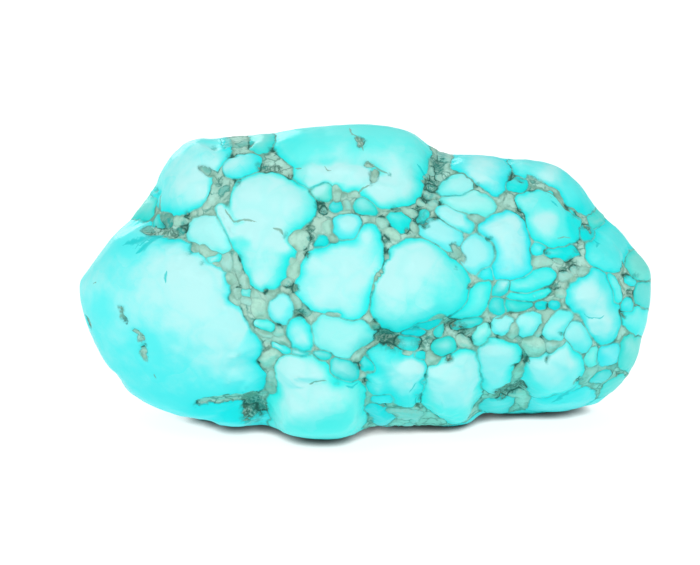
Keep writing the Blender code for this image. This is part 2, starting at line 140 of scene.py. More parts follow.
# the widest line round the stone, clockwise from its left end: across, up, out
rimLine = [
    (-26.0, 13.4, -0.6), (-25.0, 15.7, -0.2), (-22.2, 19.3, 0.0), (-19.4, 23.1, 0.0),
    (-17.5, 26.0, 0.0), (-15.4, 27.3, 0.0), (-11.0, 27.8, 0.0), (-6.0, 28.3, 0.0),
    (-1.0, 28.7, 0.0), (3.0, 28.3, 0.0), (5.6, 27.1, 0.0), (8.0, 26.2, 0.0),
    (12.0, 25.9, 0.0), (16.2, 25.4, 0.0), (18.8, 24.0, 0.0), (21.2, 21.2, 0.0),
    (24.2, 18.1, 0.0), (26.2, 15.3, 0.0), (26.2, 12.8, -0.8), (25.4, 9.3, -2.6),
    (24.2, 5.75, -4.8), (21.5, 3.35, -6.8), (18.0, 2.5, -7.5), (14.2, 2.05, -7.0),
    (11.1, 2.1, -5.6), (9.3, 1.35, -3.6), (7.0, 1.1, -2.6), (4.0, 1.2, -1.6),
    (1.2, 0.95, -0.4), (-1.6, 0.3, 1.0), (-4.4, 0.05, 1.6), (-7.0, 0.45, 0.6),
    (-8.8, 0.95, -1.8), (-11.5, 1.35, -2.8), (-15.0, 1.85, -3.6), (-18.8, 3.05, -3.6),
    (-22.0, 5.05, -3.0), (-24.4, 8.8, -1.8),
]

# nodules of the front: kind, then blobs of across, up, half width, half height, turn in degrees
frontNodules = {
    "leftBoulder": ("sky", [
        (-20.2, 11.2, 8.0, 7.2, 0), (-13.6, 8.9, 3.0, 3.9, 0), (-11.6, 7.8, 2.2, 1.5, 8),
        (-12.2, 5.4, 2.1, 1.6, 0), (-18.2, 4.8, 7.2, 5.2, 0), (-22.4, 16.6, 4.4, 3.4, 45),
        (-12.8, 1.3, 3.8, 1.7, -3), (-14.7, 14.0, 2.3, 2.5, 30), (-10.8, 4.55, 1.6, 1.3, -5),
        (-17.1, 16.9, 1.7, 1.5, -30),
    ]),
    "shoulderKnob": ("sky", [
        (-17.1, 23.7, 3.1, 3.0, 10), (-15.1, 26.8, 3.0, 2.3, -5), (-17.6, 25.6, 2.8, 2.4, 0),
    ]),
    "topBead": ("sky", [(-12.9, 27.1, 0.6, 0.6, 0)]),
    "lozenge": ("sky", [(-11.4, 25.05, 1.35, 1.1, 15), (-10.5, 25.6, 0.8, 0.6, 10)]),
    "tab": ("muted", [(-9.35, 27.6, 1.05, 1.3, 0)]),
    "pillow": ("light", [(-14.9, 19.2, 1.75, 1.2, -10), (-13.5, 18.5, 1.55, 1.15, -40)]),
    "saddle": ("sky", [
        (-9.2, 22.1, 3.1, 2.5, 0), (-6.8, 21.4, 2.3, 2.6, 0), (-12.3, 19.6, 2.3, 0.8, -55),
        (-9.3, 17.6, 2.1, 2.9, 0), (-9.0, 15.4, 1.8, 1.9, 0), (-7.3, 17.3, 1.0, 0.8, -30),
        (-10.6, 18.1, 1.35, 1.5, 0),
    ]),
    "rimSlip": ("muted", [(-20.6, 21.5, 1.7, 0.7, 52)]),
    "rimChip": ("muted", [(-19.2, 23.1, 0.8, 0.35, 60)]),
    "olive": ("light", [(-7.65, 11.8, 1.03, 1.28, 5)]),
    "rib": ("sky", [(-5.95, 9.3, 1.05, 1.75, 10)]),
    "egg": ("light", [
        (-2.1, 9.3, 2.75, 1.85, -5), (0.0, 9.3, 1.3, 0.95, 0), (-3.7, 9.6, 1.1, 1.1, 0),
    ]),
    "heart": ("sky", [
        (-3.4, 14.5, 2.65, 3.2, 0), (-1.5, 14.0, 2.1, 3.25, 0), (0.0, 16.6, 1.7, 1.7, 0),
        (0.3, 18.4, 1.0, 1.35, 0), (-5.7, 13.6, 0.9, 0.9, 0), (-2.3, 17.2, 1.9, 0.9, 0),
    ]),
    "heartCorner": ("deep", [(-3.9, 18.0, 0.6, 0.5, 0)]),
    "bean": ("light", [(-1.65, 19.45, 1.22, 1.38, 10)]),
    "crown": ("sky", [
        (-5.0, 27.7, 3.3, 2.5, 6), (-0.5, 28.0, 5.2, 2.9, 0), (3.2, 26.8, 2.9, 2.6, -28),
        (4.0, 24.7, 1.5, 1.6, -30), (-1.7, 24.3, 2.3, 1.6, 0), (-4.9, 24.4, 1.6, 1.4, 0),
        (2.3, 22.9, 2.75, 1.5, 0), (3.6, 24.0, 1.6, 1.6, 0),
    ]),
    "crownLap": ("muted", [(-3.9, 22.9, 1.0, 0.9, 0)]),
    "crownBead": ("deep", [(3.05, 20.0, 1.0, 1.02, 0)]),
    "kingpin": ("sky", [
        (4.6, 15.0, 3.2, 3.45, 0), (3.2, 12.4, 2.9, 2.85, -15), (6.9, 14.2, 2.6, 2.3, -10),
        (5.5, 12.3, 2.3, 1.6, 25), (7.7, 12.6, 1.4, 1.6, -20),
    ]),
    "slat": ("sky", [(10.3, 12.9, 0.95, 1.6, -20), (8.95, 11.4, 1.4, 0.85, 20)]),
    "slatWedge": ("muted", [(12.45, 13.7, 1.05, 0.62, 30)]),
    "chinDrop": ("deep", [(5.3, 10.2, 1.4, 0.42, 22)]),
    "chinBit": ("deep", [(4.6, 9.5, 0.95, 0.5, 0)]),
    "upperPair": ("light", [(8.25, 23.65, 1.5, 0.98, 5)]),
    "lowerPair": ("light", [(9.9, 22.0, 1.9, 1.15, -15), (8.4, 22.2, 1.35, 0.75, 0)]),
    "upperLath": ("light", [(7.6, 20.7, 1.3, 0.78, -30), (8.7, 19.95, 1.15, 0.85, -45)]),
    "lowerLath": ("light", [(6.3, 19.1, 1.5, 0.98, -25), (7.5, 18.5, 1.2, 0.88, -35)]),
    "eastBead": ("light", [(10.2, 17.1, 1.55, 1.8, -10)]),
    "eastPip": ("sky", [(11.1, 15.15, 0.75, 0.58, 0)]),
    "east": ("sky", [
        (13.4, 17.8, 1.75, 3.3, 0), (12.0, 19.7, 1.9, 1.2, 10), (12.9, 15.6, 1.9, 1.1, 15),
    ]),
    "brow": ("sky", [
        (11.3, 25.3, 1.9, 1.6, -15), (12.1, 23.8, 0.95, 1.0, 10), (9.8, 25.7, 1.7, 1.3, 5),
    ]),
    "browStud": ("deep", [(13.9, 23.85, 0.95, 0.68, -10)]),
    "shoulder": ("sky", [
        (17.5, 19.8, 2.6, 2.15, -10), (15.3, 22.1, 1.55, 1.0, -20), (17.0, 21.55, 2.1, 1.35, -38),
    ]),
    "ridge": ("sky", [
        (17.4, 25.0, 3.2, 1.5, -15), (19.8, 23.0, 2.3, 1.4, -50), (14.6, 25.6, 1.6, 1.0, -5),
    ]),
    "capRoot": ("deep", [(20.6, 19.2, 0.9, 0.75, 30)]),
    "cap": ("sky", [(22.3, 17.1, 2.1, 1.9, -10), (22.9, 19.1, 2.0, 1.5, -45)]),
    "capTail": ("muted", [(21.6, 20.4, 1.0, 0.8, -45)]),
    "finBud": ("sky", [(15.95, 17.55, 0.6, 0.62, 0)]),
    "finLens": ("deep", [(18.1, 17.1, 1.38, 0.6, 0)]),
    "fin": ("sky", [(15.7, 14.6, 1.75, 0.78, 10), (14.4, 14.1, 1.15, 0.72, 28)]),
    "finLower": ("sky", [(15.1, 13.1, 2.0, 0.45, 12)]),
    "finRootLeft": ("muted", [(12.1, 11.9, 0.72, 0.78, 30)]),
    "finRoot": ("muted", [(13.75, 12.1, 1.2, 0.62, 15)]),
    "kidney": ("sky", [
        (20.6, 12.9, 2.3, 1.9, -10), (21.0, 14.2, 1.3, 1.35, -20), (22.0, 10.6, 1.7, 2.2, -5),
    ]),
    "crescent": ("sky", [(23.05, 13.6, 0.5, 1.4, 15)]),
    "edgeUpper": ("muted", [(25.7, 16.3, 1.3, 1.6, 22)]),
    "edgeBead": ("sky", [(24.75, 14.5, 0.55, 0.5, 0)]),
    "edgeFlank": ("muted", [(25.9, 13.1, 0.9, 1.2, -5)]),
    "edgePip": ("sky", [(24.3, 11.9, 0.58, 0.65, 0)]),
    "edgeMiddle": ("sky", [(25.2, 10.6, 1.3, 1.2, -20)]),
    "edgeLower": ("muted", [(24.7, 7.6, 1.4, 1.7, -15)]),
    "pea": ("light", [(22.45, 7.45, 1.12, 0.95, 30)]),
    "peaMate": ("light", [(20.9, 7.4, 0.68, 0.75, -20)]),
    "rowFirst": ("light", [(12.5, 10.1, 0.9, 0.8, 20)]),
    "rowStart": ("light", [(10.75, 9.1, 0.65, 0.98, -15)]),
    "rowSecond": ("light", [(14.95, 10.4, 0.95, 0.9, 0), (14.75, 9.6, 0.5, 0.6, 0)]),
    "rowThird": ("light", [(17.9, 10.4, 1.3, 0.72, 48), (17.1, 9.4, 0.8, 0.62, 0)]),
    "rowFourth": ("light", [(19.2, 9.3, 1.0, 1.18, 0), (19.9, 8.4, 0.5, 0.6, 0)]),
    "pear": ("sky", [(12.3, 7.2, 1.9, 1.6, 0), (11.95, 5.2, 1.45, 1.85, -8)]),
    "fist": ("sky", [
        (16.4, 5.5, 2.1, 2.25, 0), (18.4, 6.6, 1.6, 2.0, 10), (17.5, 5.0, 2.2, 1.6, 0),
    ]),
    "hem": ("sky", [(18.0, 2.9, 3.2, 1.45, 12)]),
    "hemEnd": ("muted", [(21.7, 5.3, 0.95, 0.5, 20)]),
    "hemRim": ("muted", [(22.9, 4.3, 1.7, 0.6, 38)]),
    "hemFoot": ("deep", [(12.3, 2.4, 1.3, 0.6, 5)]),
    "nose": ("sky", [
        (-4.3, 2.3, 4.8, 3.6, 0), (-6.0, 5.6, 2.55, 1.95, 10), (-2.0, 3.0, 2.5, 2.2, -10),
    ]),
    "cheek": ("muted", [(-1.7, 6.1, 1.75, 1.05, -25)]),
    "mole": ("sky", [(-2.75, 4.9, 0.85, 0.52, -5)]),
    "noseBridge": ("muted", [(-5.9, 7.5, 0.8, 0.38, -10)]),
    "noseTip": ("muted", [(-4.1, 7.5, 0.6, 0.36, 0)]),
    "barrel": ("sky", [
        (2.2, 6.8, 1.6, 1.5, 0), (4.0, 5.0, 2.0, 2.7, 0), (1.4, 4.4, 0.9, 1.1, 0),
        (4.6, 6.0, 1.3, 1.2, 0),
    ]),
    "barrelBung": ("deep", [(0.85, 6.3, 0.75, 0.65, 0)]),
    "barrelFoot": ("sky", [(2.0, 3.1, 0.95, 0.62, 15)]),
    "barrelHeel": ("deep", [(1.6, 1.7, 1.0, 0.7, 0)]),
    "barrelKnot": ("sky", [(4.9, 3.4, 0.62, 0.75, 0)]),
    "barrelRivet": ("sky", [(5.5, 4.7, 0.65, 0.48, 0)]),
    "barrelLid": ("deep", [(5.1, 7.25, 0.65, 0.38, 0)]),
    "toe": ("sky", [(8.3, 4.3, 2.75, 3.15, -8), (9.1, 6.1, 1.7, 1.9, 0), (6.9, 3.2, 1.6, 1.6, 0)]),
    "toeLid": ("muted", [(7.3, 8.1, 0.95, 0.62, 5)]),
    "toeStrip": ("muted", [(9.3, 10.0, 1.3, 0.38, 20)]),
    "lidStrip": ("muted", [(4.1, 8.5, 1.1, 0.6, 0)]),
    "westBead": ("sky", [(-13.95, 16.4, 0.75, 0.5, 20)]),
    "channelBead": ("sky", [(-9.2, 10.1, 0.9, 0.6, -10)]),
    "channelBar": ("sky", [(-7.75, 7.9, 0.75, 0.45, -10)]),
    "shoulderShard": ("muted", [(-19.6, 20.0, 0.55, 1.1, -10)]),
    "nickUpper": ("muted", [(-2.55, 21.6, 0.55, 0.35, 0)]),
    "nickLower": ("muted", [(0.1, 21.3, 0.95, 0.62, -10)]),
    "nickRight": ("muted", [(5.2, 20.55, 0.5, 0.65, 0)]),
    "glint": ("muted", [(6.8, 9.5, 0.32, 0.55, 0)]),
    "dashLeft": ("deep", [(16.0, 12.0, 0.62, 0.32, -10)]),
    "dashRight": ("deep", [(17.3, 11.85, 0.55, 0.36, -10)]),
}

# small matrix pebbles of the front, each of one blob: kind, then across, up, half width,
# half height, turn
frontPebbles = [
    ("teal", -18.7, 20.6, 0.8, 0.75, -40), ("pale", -18.4, 19.4, 0.5, 0.35, 0),
    ("teal", -17.5, 19.3, 0.55, 0.42, 0), ("pale", -17.2, 20.25, 0.8, 0.38, -5),
    ("pale", -19.1, 18.85, 0.4, 0.3, 0), ("pale", -20.25, 19.3, 0.3, 0.55, 0),
    ("pale", -15.9, 17.55, 0.6, 0.6, 0), ("pale", -14.5, 17.3, 1.1, 0.5, -30),
    ("pale", -12.75, 16.1, 0.7, 0.95, 0), ("pale", -11.7, 16.1, 0.45, 0.9, 10),
    ("pale", -11.0, 14.4, 0.5, 0.85, 15), ("pale", -11.7, 12.9, 0.45, 0.9, -15),
    ("muted", -10.9, 13.15, 0.5, 0.4, 0), ("pale", -10.95, 12.35, 0.7, 0.38, -25),
    ("pale", -10.0, 13.0, 0.45, 0.5, 0), ("pale", -9.65, 11.7, 0.7, 1.25, 10),
    ("pale", -9.3, 9.25, 0.95, 0.42, -20), ("pale", -7.95, 9.6, 0.6, 0.75, 0),
    ("pale", -7.6, 8.65, 0.95, 0.55, -15), ("pale", -8.9, 6.75, 1.3, 0.75, 38),
    ("pale", -8.85, 4.5, 0.5, 1.25, 5), ("pale", 7.4, 26.4, 0.8, 0.45, -20),
    ("pale", -8.5, 13.2, 0.55, 0.5, 0), ("pale", -6.5, 12.5, 0.5, 0.75, 10),
    ("pale", -6.6, 15.4, 0.75, 0.75, 0), ("pale", -5.9, 18.2, 0.9, 0.9, 0),
    ("pale", -2.6, 11.35, 0.9, 0.5, 10), ("pale", -3.35, 19.5, 0.5, 0.85, -5),
    ("pale", -2.9, 18.35, 0.65, 0.42, -35), ("pale", -2.6, 22.8, 0.6, 0.85, 10),
    ("pale", -1.55, 21.6, 0.45, 0.45, 0), ("pale", -0.75, 22.5, 0.5, 0.32, 0),
    ("pale", -1.75, 21.05, 0.5, 0.22, 0), ("teal", -3.8, 21.25, 0.4, 0.32, 0),
    ("pale", 1.55, 19.9, 0.6, 0.75, 20), ("pale", 2.25, 18.75, 0.8, 0.5, -35),
    ("teal", 3.1, 21.15, 0.5, 0.28, 0), ("pale", 4.3, 20.95, 0.75, 0.5, -20),
    ("pale", 5.2, 22.15, 0.45, 0.5, 0), ("pale", 6.35, 22.1, 0.5, 0.55, 0),
    ("pale", 6.1, 23.0, 0.65, 0.45, 0), ("pale", 5.85, 21.45, 0.38, 0.3, 0),
    ("teal", 6.2, 23.75, 0.5, 0.3, 0), ("pale", 5.35, 24.05, 0.35, 0.3, 0),
    ("pale", 6.9, 24.8, 0.35, 0.42, 0), ("pale", 4.4, 19.6, 0.5, 0.6, 10),
    ("pale", 6.3, 10.95, 0.95, 0.4, 18), ("pale", 10.1, 20.4, 0.65, 0.45, 0),
    ("pale", 17.75, 16.45, 0.55, 0.35, 0), ("pale", 16.1, 16.2, 1.1, 0.6, 0),
    ("pale", 19.25, 15.5, 0.42, 0.38, 0), ("pale", 19.95, 15.2, 0.62, 0.55, 0),
    ("pale", 18.3, 14.8, 0.6, 0.5, 0), ("pale", 18.95, 14.35, 0.32, 0.32, 0),
    ("pale", 17.8, 13.2, 0.45, 0.55, 20), ("pale", 13.6, 9.6, 0.6, 0.6, 0),
    ("pale", 15.9, 9.6, 0.4, 0.7, -10), ("pale", 15.3, 8.2, 1.05, 0.85, -20),
    ("pale", 17.2, 8.3, 0.95, 0.45, 10), ("pale", 14.15, 5.8, 0.45, 0.8, -15),
    ("pale", 14.3, 2.95, 1.05, 0.65, -5), ("pale", 20.3, 5.75, 1.35, 0.6, 35),
    ("pale", -4.4, 5.05, 0.7, 0.2, 8), ("pale", 0.2, 5.1, 0.32, 0.32, 0),
    ("pale", -0.3, 7.2, 0.85, 0.75, -20), ("pale", 0.6, 2.8, 0.35, 0.95, -5),
    ("pale", 3.6, 1.75, 1.7, 0.38, -3), ("pale", 3.9, 7.5, 0.75, 0.42, 0),
    ("pale", 6.45, 7.0, 0.85, 0.65, -35), ("teal", 0.9, 10.2, 0.5, 0.45, 0),
    ("pale", 9.2, 8.6, 0.8, 0.5, -10), ("pale", 2.0, 16.5, 0.5, 0.6, 20),
    ("pale", 1.35, 15.1, 0.3, 0.75, -30), ("pale", 0.75, 13.6, 0.25, 0.7, -20),
    ("pale", 6.3, 25.3, 0.5, 0.45, 30), ("pale", 5.7, 24.6, 0.4, 0.35, 0),
    ("pale", -12.5, 14.6, 0.6, 0.5, -40), ("pale", -13.7, 15.9, 0.8, 0.5, -45),
    ("pale", -7.1, 14.3, 0.5, 0.4, 0), ("pale", -6.9, 16.6, 0.4, 0.5, 0),
    ("pale", 8.5, 17.2, 0.6, 0.3, -50), ("pale", -11.9, 12.5, 0.5, 0.7, 20),
]

# nodules of the face that looks the other way
backNodules = {
    "farBoulder": ("sky", [(-17.6, 12.6, 3.9, 4.9, 10), (-16.6, 7.4, 3.4, 3.0, -10)]),
    "farShoulder": ("sky", [(-13.8, 21.8, 3.9, 3.3, -15), (-10.8, 23.4, 2.4, 2.1, 0)]),
    "bigLoaf": ("sky", [(-9.6, 14.3, 4.1, 3.7, 20), (-7.2, 11.6, 2.9, 2.5, 0)]),
    "heel": ("sky", [(-10.2, 5.6, 3.4, 2.9, 5)]),
    "tallCob": ("sky", [(-4.3, 20.6, 2.9, 3.9, 10)]),
    "anvil": ("sky", [(-1.9, 7.9, 3.9, 4.2, -10), (0.9, 5.4, 2.7, 2.3, 0)]),
    "plum": ("sky", [(-2.4, 14.9, 1.9, 1.7, 0)]),
    "backKing": ("sky", [(3.3, 15.4, 3.5, 4.1, 20), (4.5, 19.2, 2.3, 2.1, 0)]),
    "backCrown": ("sky", [(2.0, 24.4, 4.3, 2.5, 0)]),
    "post": ("sky", [(6.9, 8.0, 2.7, 3.8, -5)]),
    "ledge": ("sky", [(9.7, 22.8, 3.1, 2.1, -15)]),
    "shield": ("sky", [(10.4, 15.3, 2.9, 3.5, -20)]),
    "bun": ("sky", [(13.0, 7.3, 3.1, 2.9, 10)]),
    "pod": ("sky", [(16.8, 12.8, 2.5, 3.6, 0), (15.9, 16.6, 2.0, 1.7, 0)]),
    "backShoulder": ("sky", [(15.6, 21.3, 3.1, 2.3, -20)]),
    "backCorner": ("sky", [(20.7, 8.4, 2.8, 3.3, 0)]),
    "backCap": ("sky", [(21.6, 16.0, 2.5, 3.5, 15)]),
    "sole": ("sky", [(7.4, 2.6, 2.6, 1.4, 0)]),
    "backHem": ("sky", [(16.9, 3.7, 3.6, 1.5, 10)]),
    "chipA": ("sky", [(-5.6, 16.6, 1.2, 1.0, 20)]),
    "chipB": ("muted", [(-6.3, 6.2, 1.1, 1.5, 10)]),
    "chipC": ("sky", [(-13.6, 10.0, 1.1, 1.6, 15)]),
    "chipD": ("sky", [(-14.3, 16.9, 1.7, 1.2, -30)]),
    "chipE": ("muted", [(-7.1, 25.2, 1.2, 1.0, 0)]),
    "chipF": ("sky", [(-0.2, 19.5, 1.1, 1.4, 0)]),
    "chipG": ("deep", [(6.8, 12.6, 1.2, 1.0, 30)]),
    "chipH": ("sky", [(7.7, 18.9, 1.3, 1.0, -30)]),
    "chipI": ("sky", [(12.9, 11.3, 1.3, 0.9, 0)]),
    "chipJ": ("muted", [(12.4, 19.0, 1.2, 1.1, 0)]),
    "chipK": ("sky", [(18.9, 18.9, 1.3, 1.0, -40)]),
    "chipL": ("deep", [(19.0, 12.2, 0.9, 1.4, 0)]),
}

# lobes of the underside: across, out, half width, half depth, turn
underNodules = {
    "leftSole": ("sky", [(-15.5, -6.0, 5.6, 4.6, 10)]),
    "leftToe": ("sky", [(-21.5, -3.6, 3.2, 3.6, 0)]),
    "middleSole": ("sky", [(-4.4, -3.8, 4.7, 4.9, 0)]),
    "middleHeel": ("sky", [(-7.6, -10.6, 2.9, 2.3, 0)]),
    "innerPad": ("sky", [(3.3, -5.6, 2.7, 3.2, 0)]),
    "rightPad": ("sky", [(8.6, -5.4, 2.5, 3.1, 0)]),
    "rightSole": ("sky", [(15.6, -8.6, 3.9, 3.0, -5)]),
    "rightToe": ("sky", [(21.4, -7.4, 2.2, 2.8, 10)]),
    "hindPad": ("sky", [(1.2, -11.2, 3.3, 2.2, 10)]),
}

# nodules of the top: across, out, half width, half depth, turn
topNodules = {
    "leftRoof": ("sky", [(-15.9, -4.6, 2.1, 2.6, 20)]),
    "leftRoofInner": ("sky", [(-12.1, -2.2, 1.6, 1.8, 0)]),
    "midRoof": ("sky", [(-9.6, -6.3, 2.3, 2.0, -20)]),
    "midRoofFront": ("muted", [(-7.9, -1.9, 1.5, 1.7, 10)]),
    "crownRoof": ("sky", [(-3.6, -6.2, 2.5, 2.1, 25)]),
    "crownRoofRight": ("sky", [(1.6, -5.2, 2.6, 1.9, -15)]),
    "crownRoofEnd": ("sky", [(5.6, -6.6, 1.7, 2.2, 10)]),
    "rightRoof": ("sky", [(8.7, -2.4, 1.9, 1.6, 10)]),
    "rightRoofBack": ("sky", [(10.6, -6.1, 2.4, 1.9, -10)]),
    "farRightRoof": ("muted", [(13.4, -2.9, 1.9, 1.8, 20)]),
    "farRightRoofBack": ("sky", [(16.6, -5.6, 2.3, 2.5, 0)]),
    "rightShoulderRoof": ("sky", [(18.9, -1.9, 1.9, 1.6, -30)]),
}

# matrix let into the nodules, as blobs of the front
matrixPools = [
    (-14.3, 24.55, 0.85, 0.33, -12), (-21.95, 11.9, 0.4, 0.14, -80),
    (-21.75, 11.15, 0.5, 0.18, -62), (-20.6, 9.95, 0.45, 0.2, -35), (-20.25, 9.35, 0.4, 0.34, -60),
    (-19.95, 8.1, 0.42, 0.26, -65), (-19.75, 7.5, 0.32, 0.14, -50), (-14.4, 3.75, 0.85, 0.34, 12),
    (-13.1, 3.95, 0.85, 0.42, -6), (-11.7, 3.6, 1.1, 0.38, -14), (-10.4, 3.15, 0.9, 0.55, -38),
    (-9.6, 2.2, 0.8, 0.34, -50), (0.8, 24.25, 0.42, 0.75, -15), (0.45, 25.25, 0.5, 0.22, 0),
    (-0.45, 27.05, 0.55, 0.28, -50), (8.5, 16.9, 1.15, 0.4, -52), (9.7, 14.2, 0.8, 0.2, 60),
    (15.9, 23.8, 1.5, 0.28, -28), (18.3, 22.1, 0.9, 0.18, -45), (12.9, 3.75, 1.7, 0.42, 32),
    (1.9, 9.0, 0.9, 0.7, 0), (-19.2, 19.35, 1.6, 0.6, -8), (-24.75, 10.7, 0.5, 0.12, -70),
    (19.3, 5.35, 0.5, 0.22, 20), (24.0, 15.8, 0.9, 0.28, -85), (23.8, 14.0, 0.9, 0.22, -65),
]

# hairlines of the front: points, half width in mm, and whether stained or still blue
cracks = [
    ([(-18.6, 19.0), (-20.4, 18.5), (-21.9, 17.6)], 0.30, "blue"),
    ([(-18.8, 18.9), (-19.8, 18.0), (-20.6, 16.9)], 0.26, "blue"),
    ([(-19.9, 8.5), (-19.3, 7.2)], 0.04, "blue"),
    ([(-19.05, 6.3), (-18.6, 5.6)], 0.05, "stained"),
    ([(-24.4, 14.2), (-24.05, 14.45)], 0.05, "stained"),
    ([(-25.0, 11.4), (-24.75, 10.7), (-24.5, 10.2)], 0.06, "stained"),
    ([(-17.55, 15.4), (-17.85, 14.7), (-18.0, 14.1)], 0.12, "blue"),
    ([(-21.3, 20.0), (-20.1, 20.7), (-19.0, 21.9), (-18.85, 23.0)], 0.12, "stained"),
    ([
        (-12.95, 21.3), (-12.4, 20.6), (-11.65, 20.05), (-10.8, 20.2), (-9.8, 19.55),
    ], 0.12, "stained"),
    ([(-8.5, 19.45), (-7.75, 19.15), (-7.4, 18.7)], 0.10, "stained"),
    ([(-12.1, 15.3), (-11.7, 14.6), (-11.45, 13.8)], 0.09, "stained"),
    ([(-5.4, 5.0), (-4.4, 5.35), (-3.7, 5.3)], 0.09, "stained"),
    ([(-1.9, 4.75), (-0.9, 4.5), (-0.2, 4.6)], 0.08, "blue"),
    ([(-1.5, 28.5), (-0.8, 27.6), (-0.3, 26.9), (0.1, 26.1)], 0.11, "stained"),
    ([(-0.1, 25.35), (0.45, 25.5), (1.2, 24.95), (2.3, 24.3)], 0.09, "stained"),
    ([(0.6, 23.4), (-0.1, 23.0), (-0.5, 22.4)], 0.10, "stained"),
    ([(-3.7, 25.2), (-3.35, 24.75), (-3.0, 24.6)], 0.06, "stained"),
    ([(-6.3, 25.1), (-5.6, 25.0)], 0.10, "stained"),
    ([(4.9, 25.6), (5.5, 24.9), (5.8, 24.4)], 0.09, "blue"),
    ([(7.0, 24.75), (8.6, 24.75), (9.6, 24.2), (10.4, 23.8)], 0.08, "stained"),
    ([
        (14.3, 24.5), (15.5, 23.6), (16.9, 23.0), (18.1, 22.2), (19.3, 21.0), (20.3, 19.8),
    ], 0.10, "stained"),
    ([(17.0, 22.2), (17.6, 21.6)], 0.12, "blue"),
    ([(17.5, 18.7), (18.4, 18.5), (18.9, 18.45)], 0.05, "stained"),
    ([(21.0, 18.6), (21.5, 18.2), (21.3, 17.6)], 0.10, "blue"),
    ([(19.8, 11.35), (20.6, 11.0), (21.5, 11.1), (22.0, 11.5)], 0.06, "blue"),
    ([(23.9, 16.6), (24.05, 15.7), (24.2, 14.7)], 0.13, "stained"),
    ([(23.35, 15.1), (23.7, 14.2), (24.15, 13.0)], 0.11, "stained"),
    ([(24.6, 13.1), (24.95, 12.7), (24.9, 12.1)], 0.06, "stained"),
    ([(18.8, 5.2), (19.5, 5.5)], 0.08, "stained"),
    ([(11.6, 10.6), (13.2, 11.25), (14.7, 11.5)], 0.09, "stained"),
    ([(1.3, 2.5), (2.4, 2.15), (3.4, 2.25), (4.5, 2.05)], 0.08, "stained"),
    ([(4.2, 3.9), (4.6, 4.4), (5.0, 4.9)], 0.06, "blue"),
    ([(17.0, 3.2), (18.4, 4.0), (19.6, 5.0)], 0.10, "blue"),
    ([(-14.2, 1.6), (-13.2, 1.4), (-12.4, 1.45)], 0.08, "blue"),
]

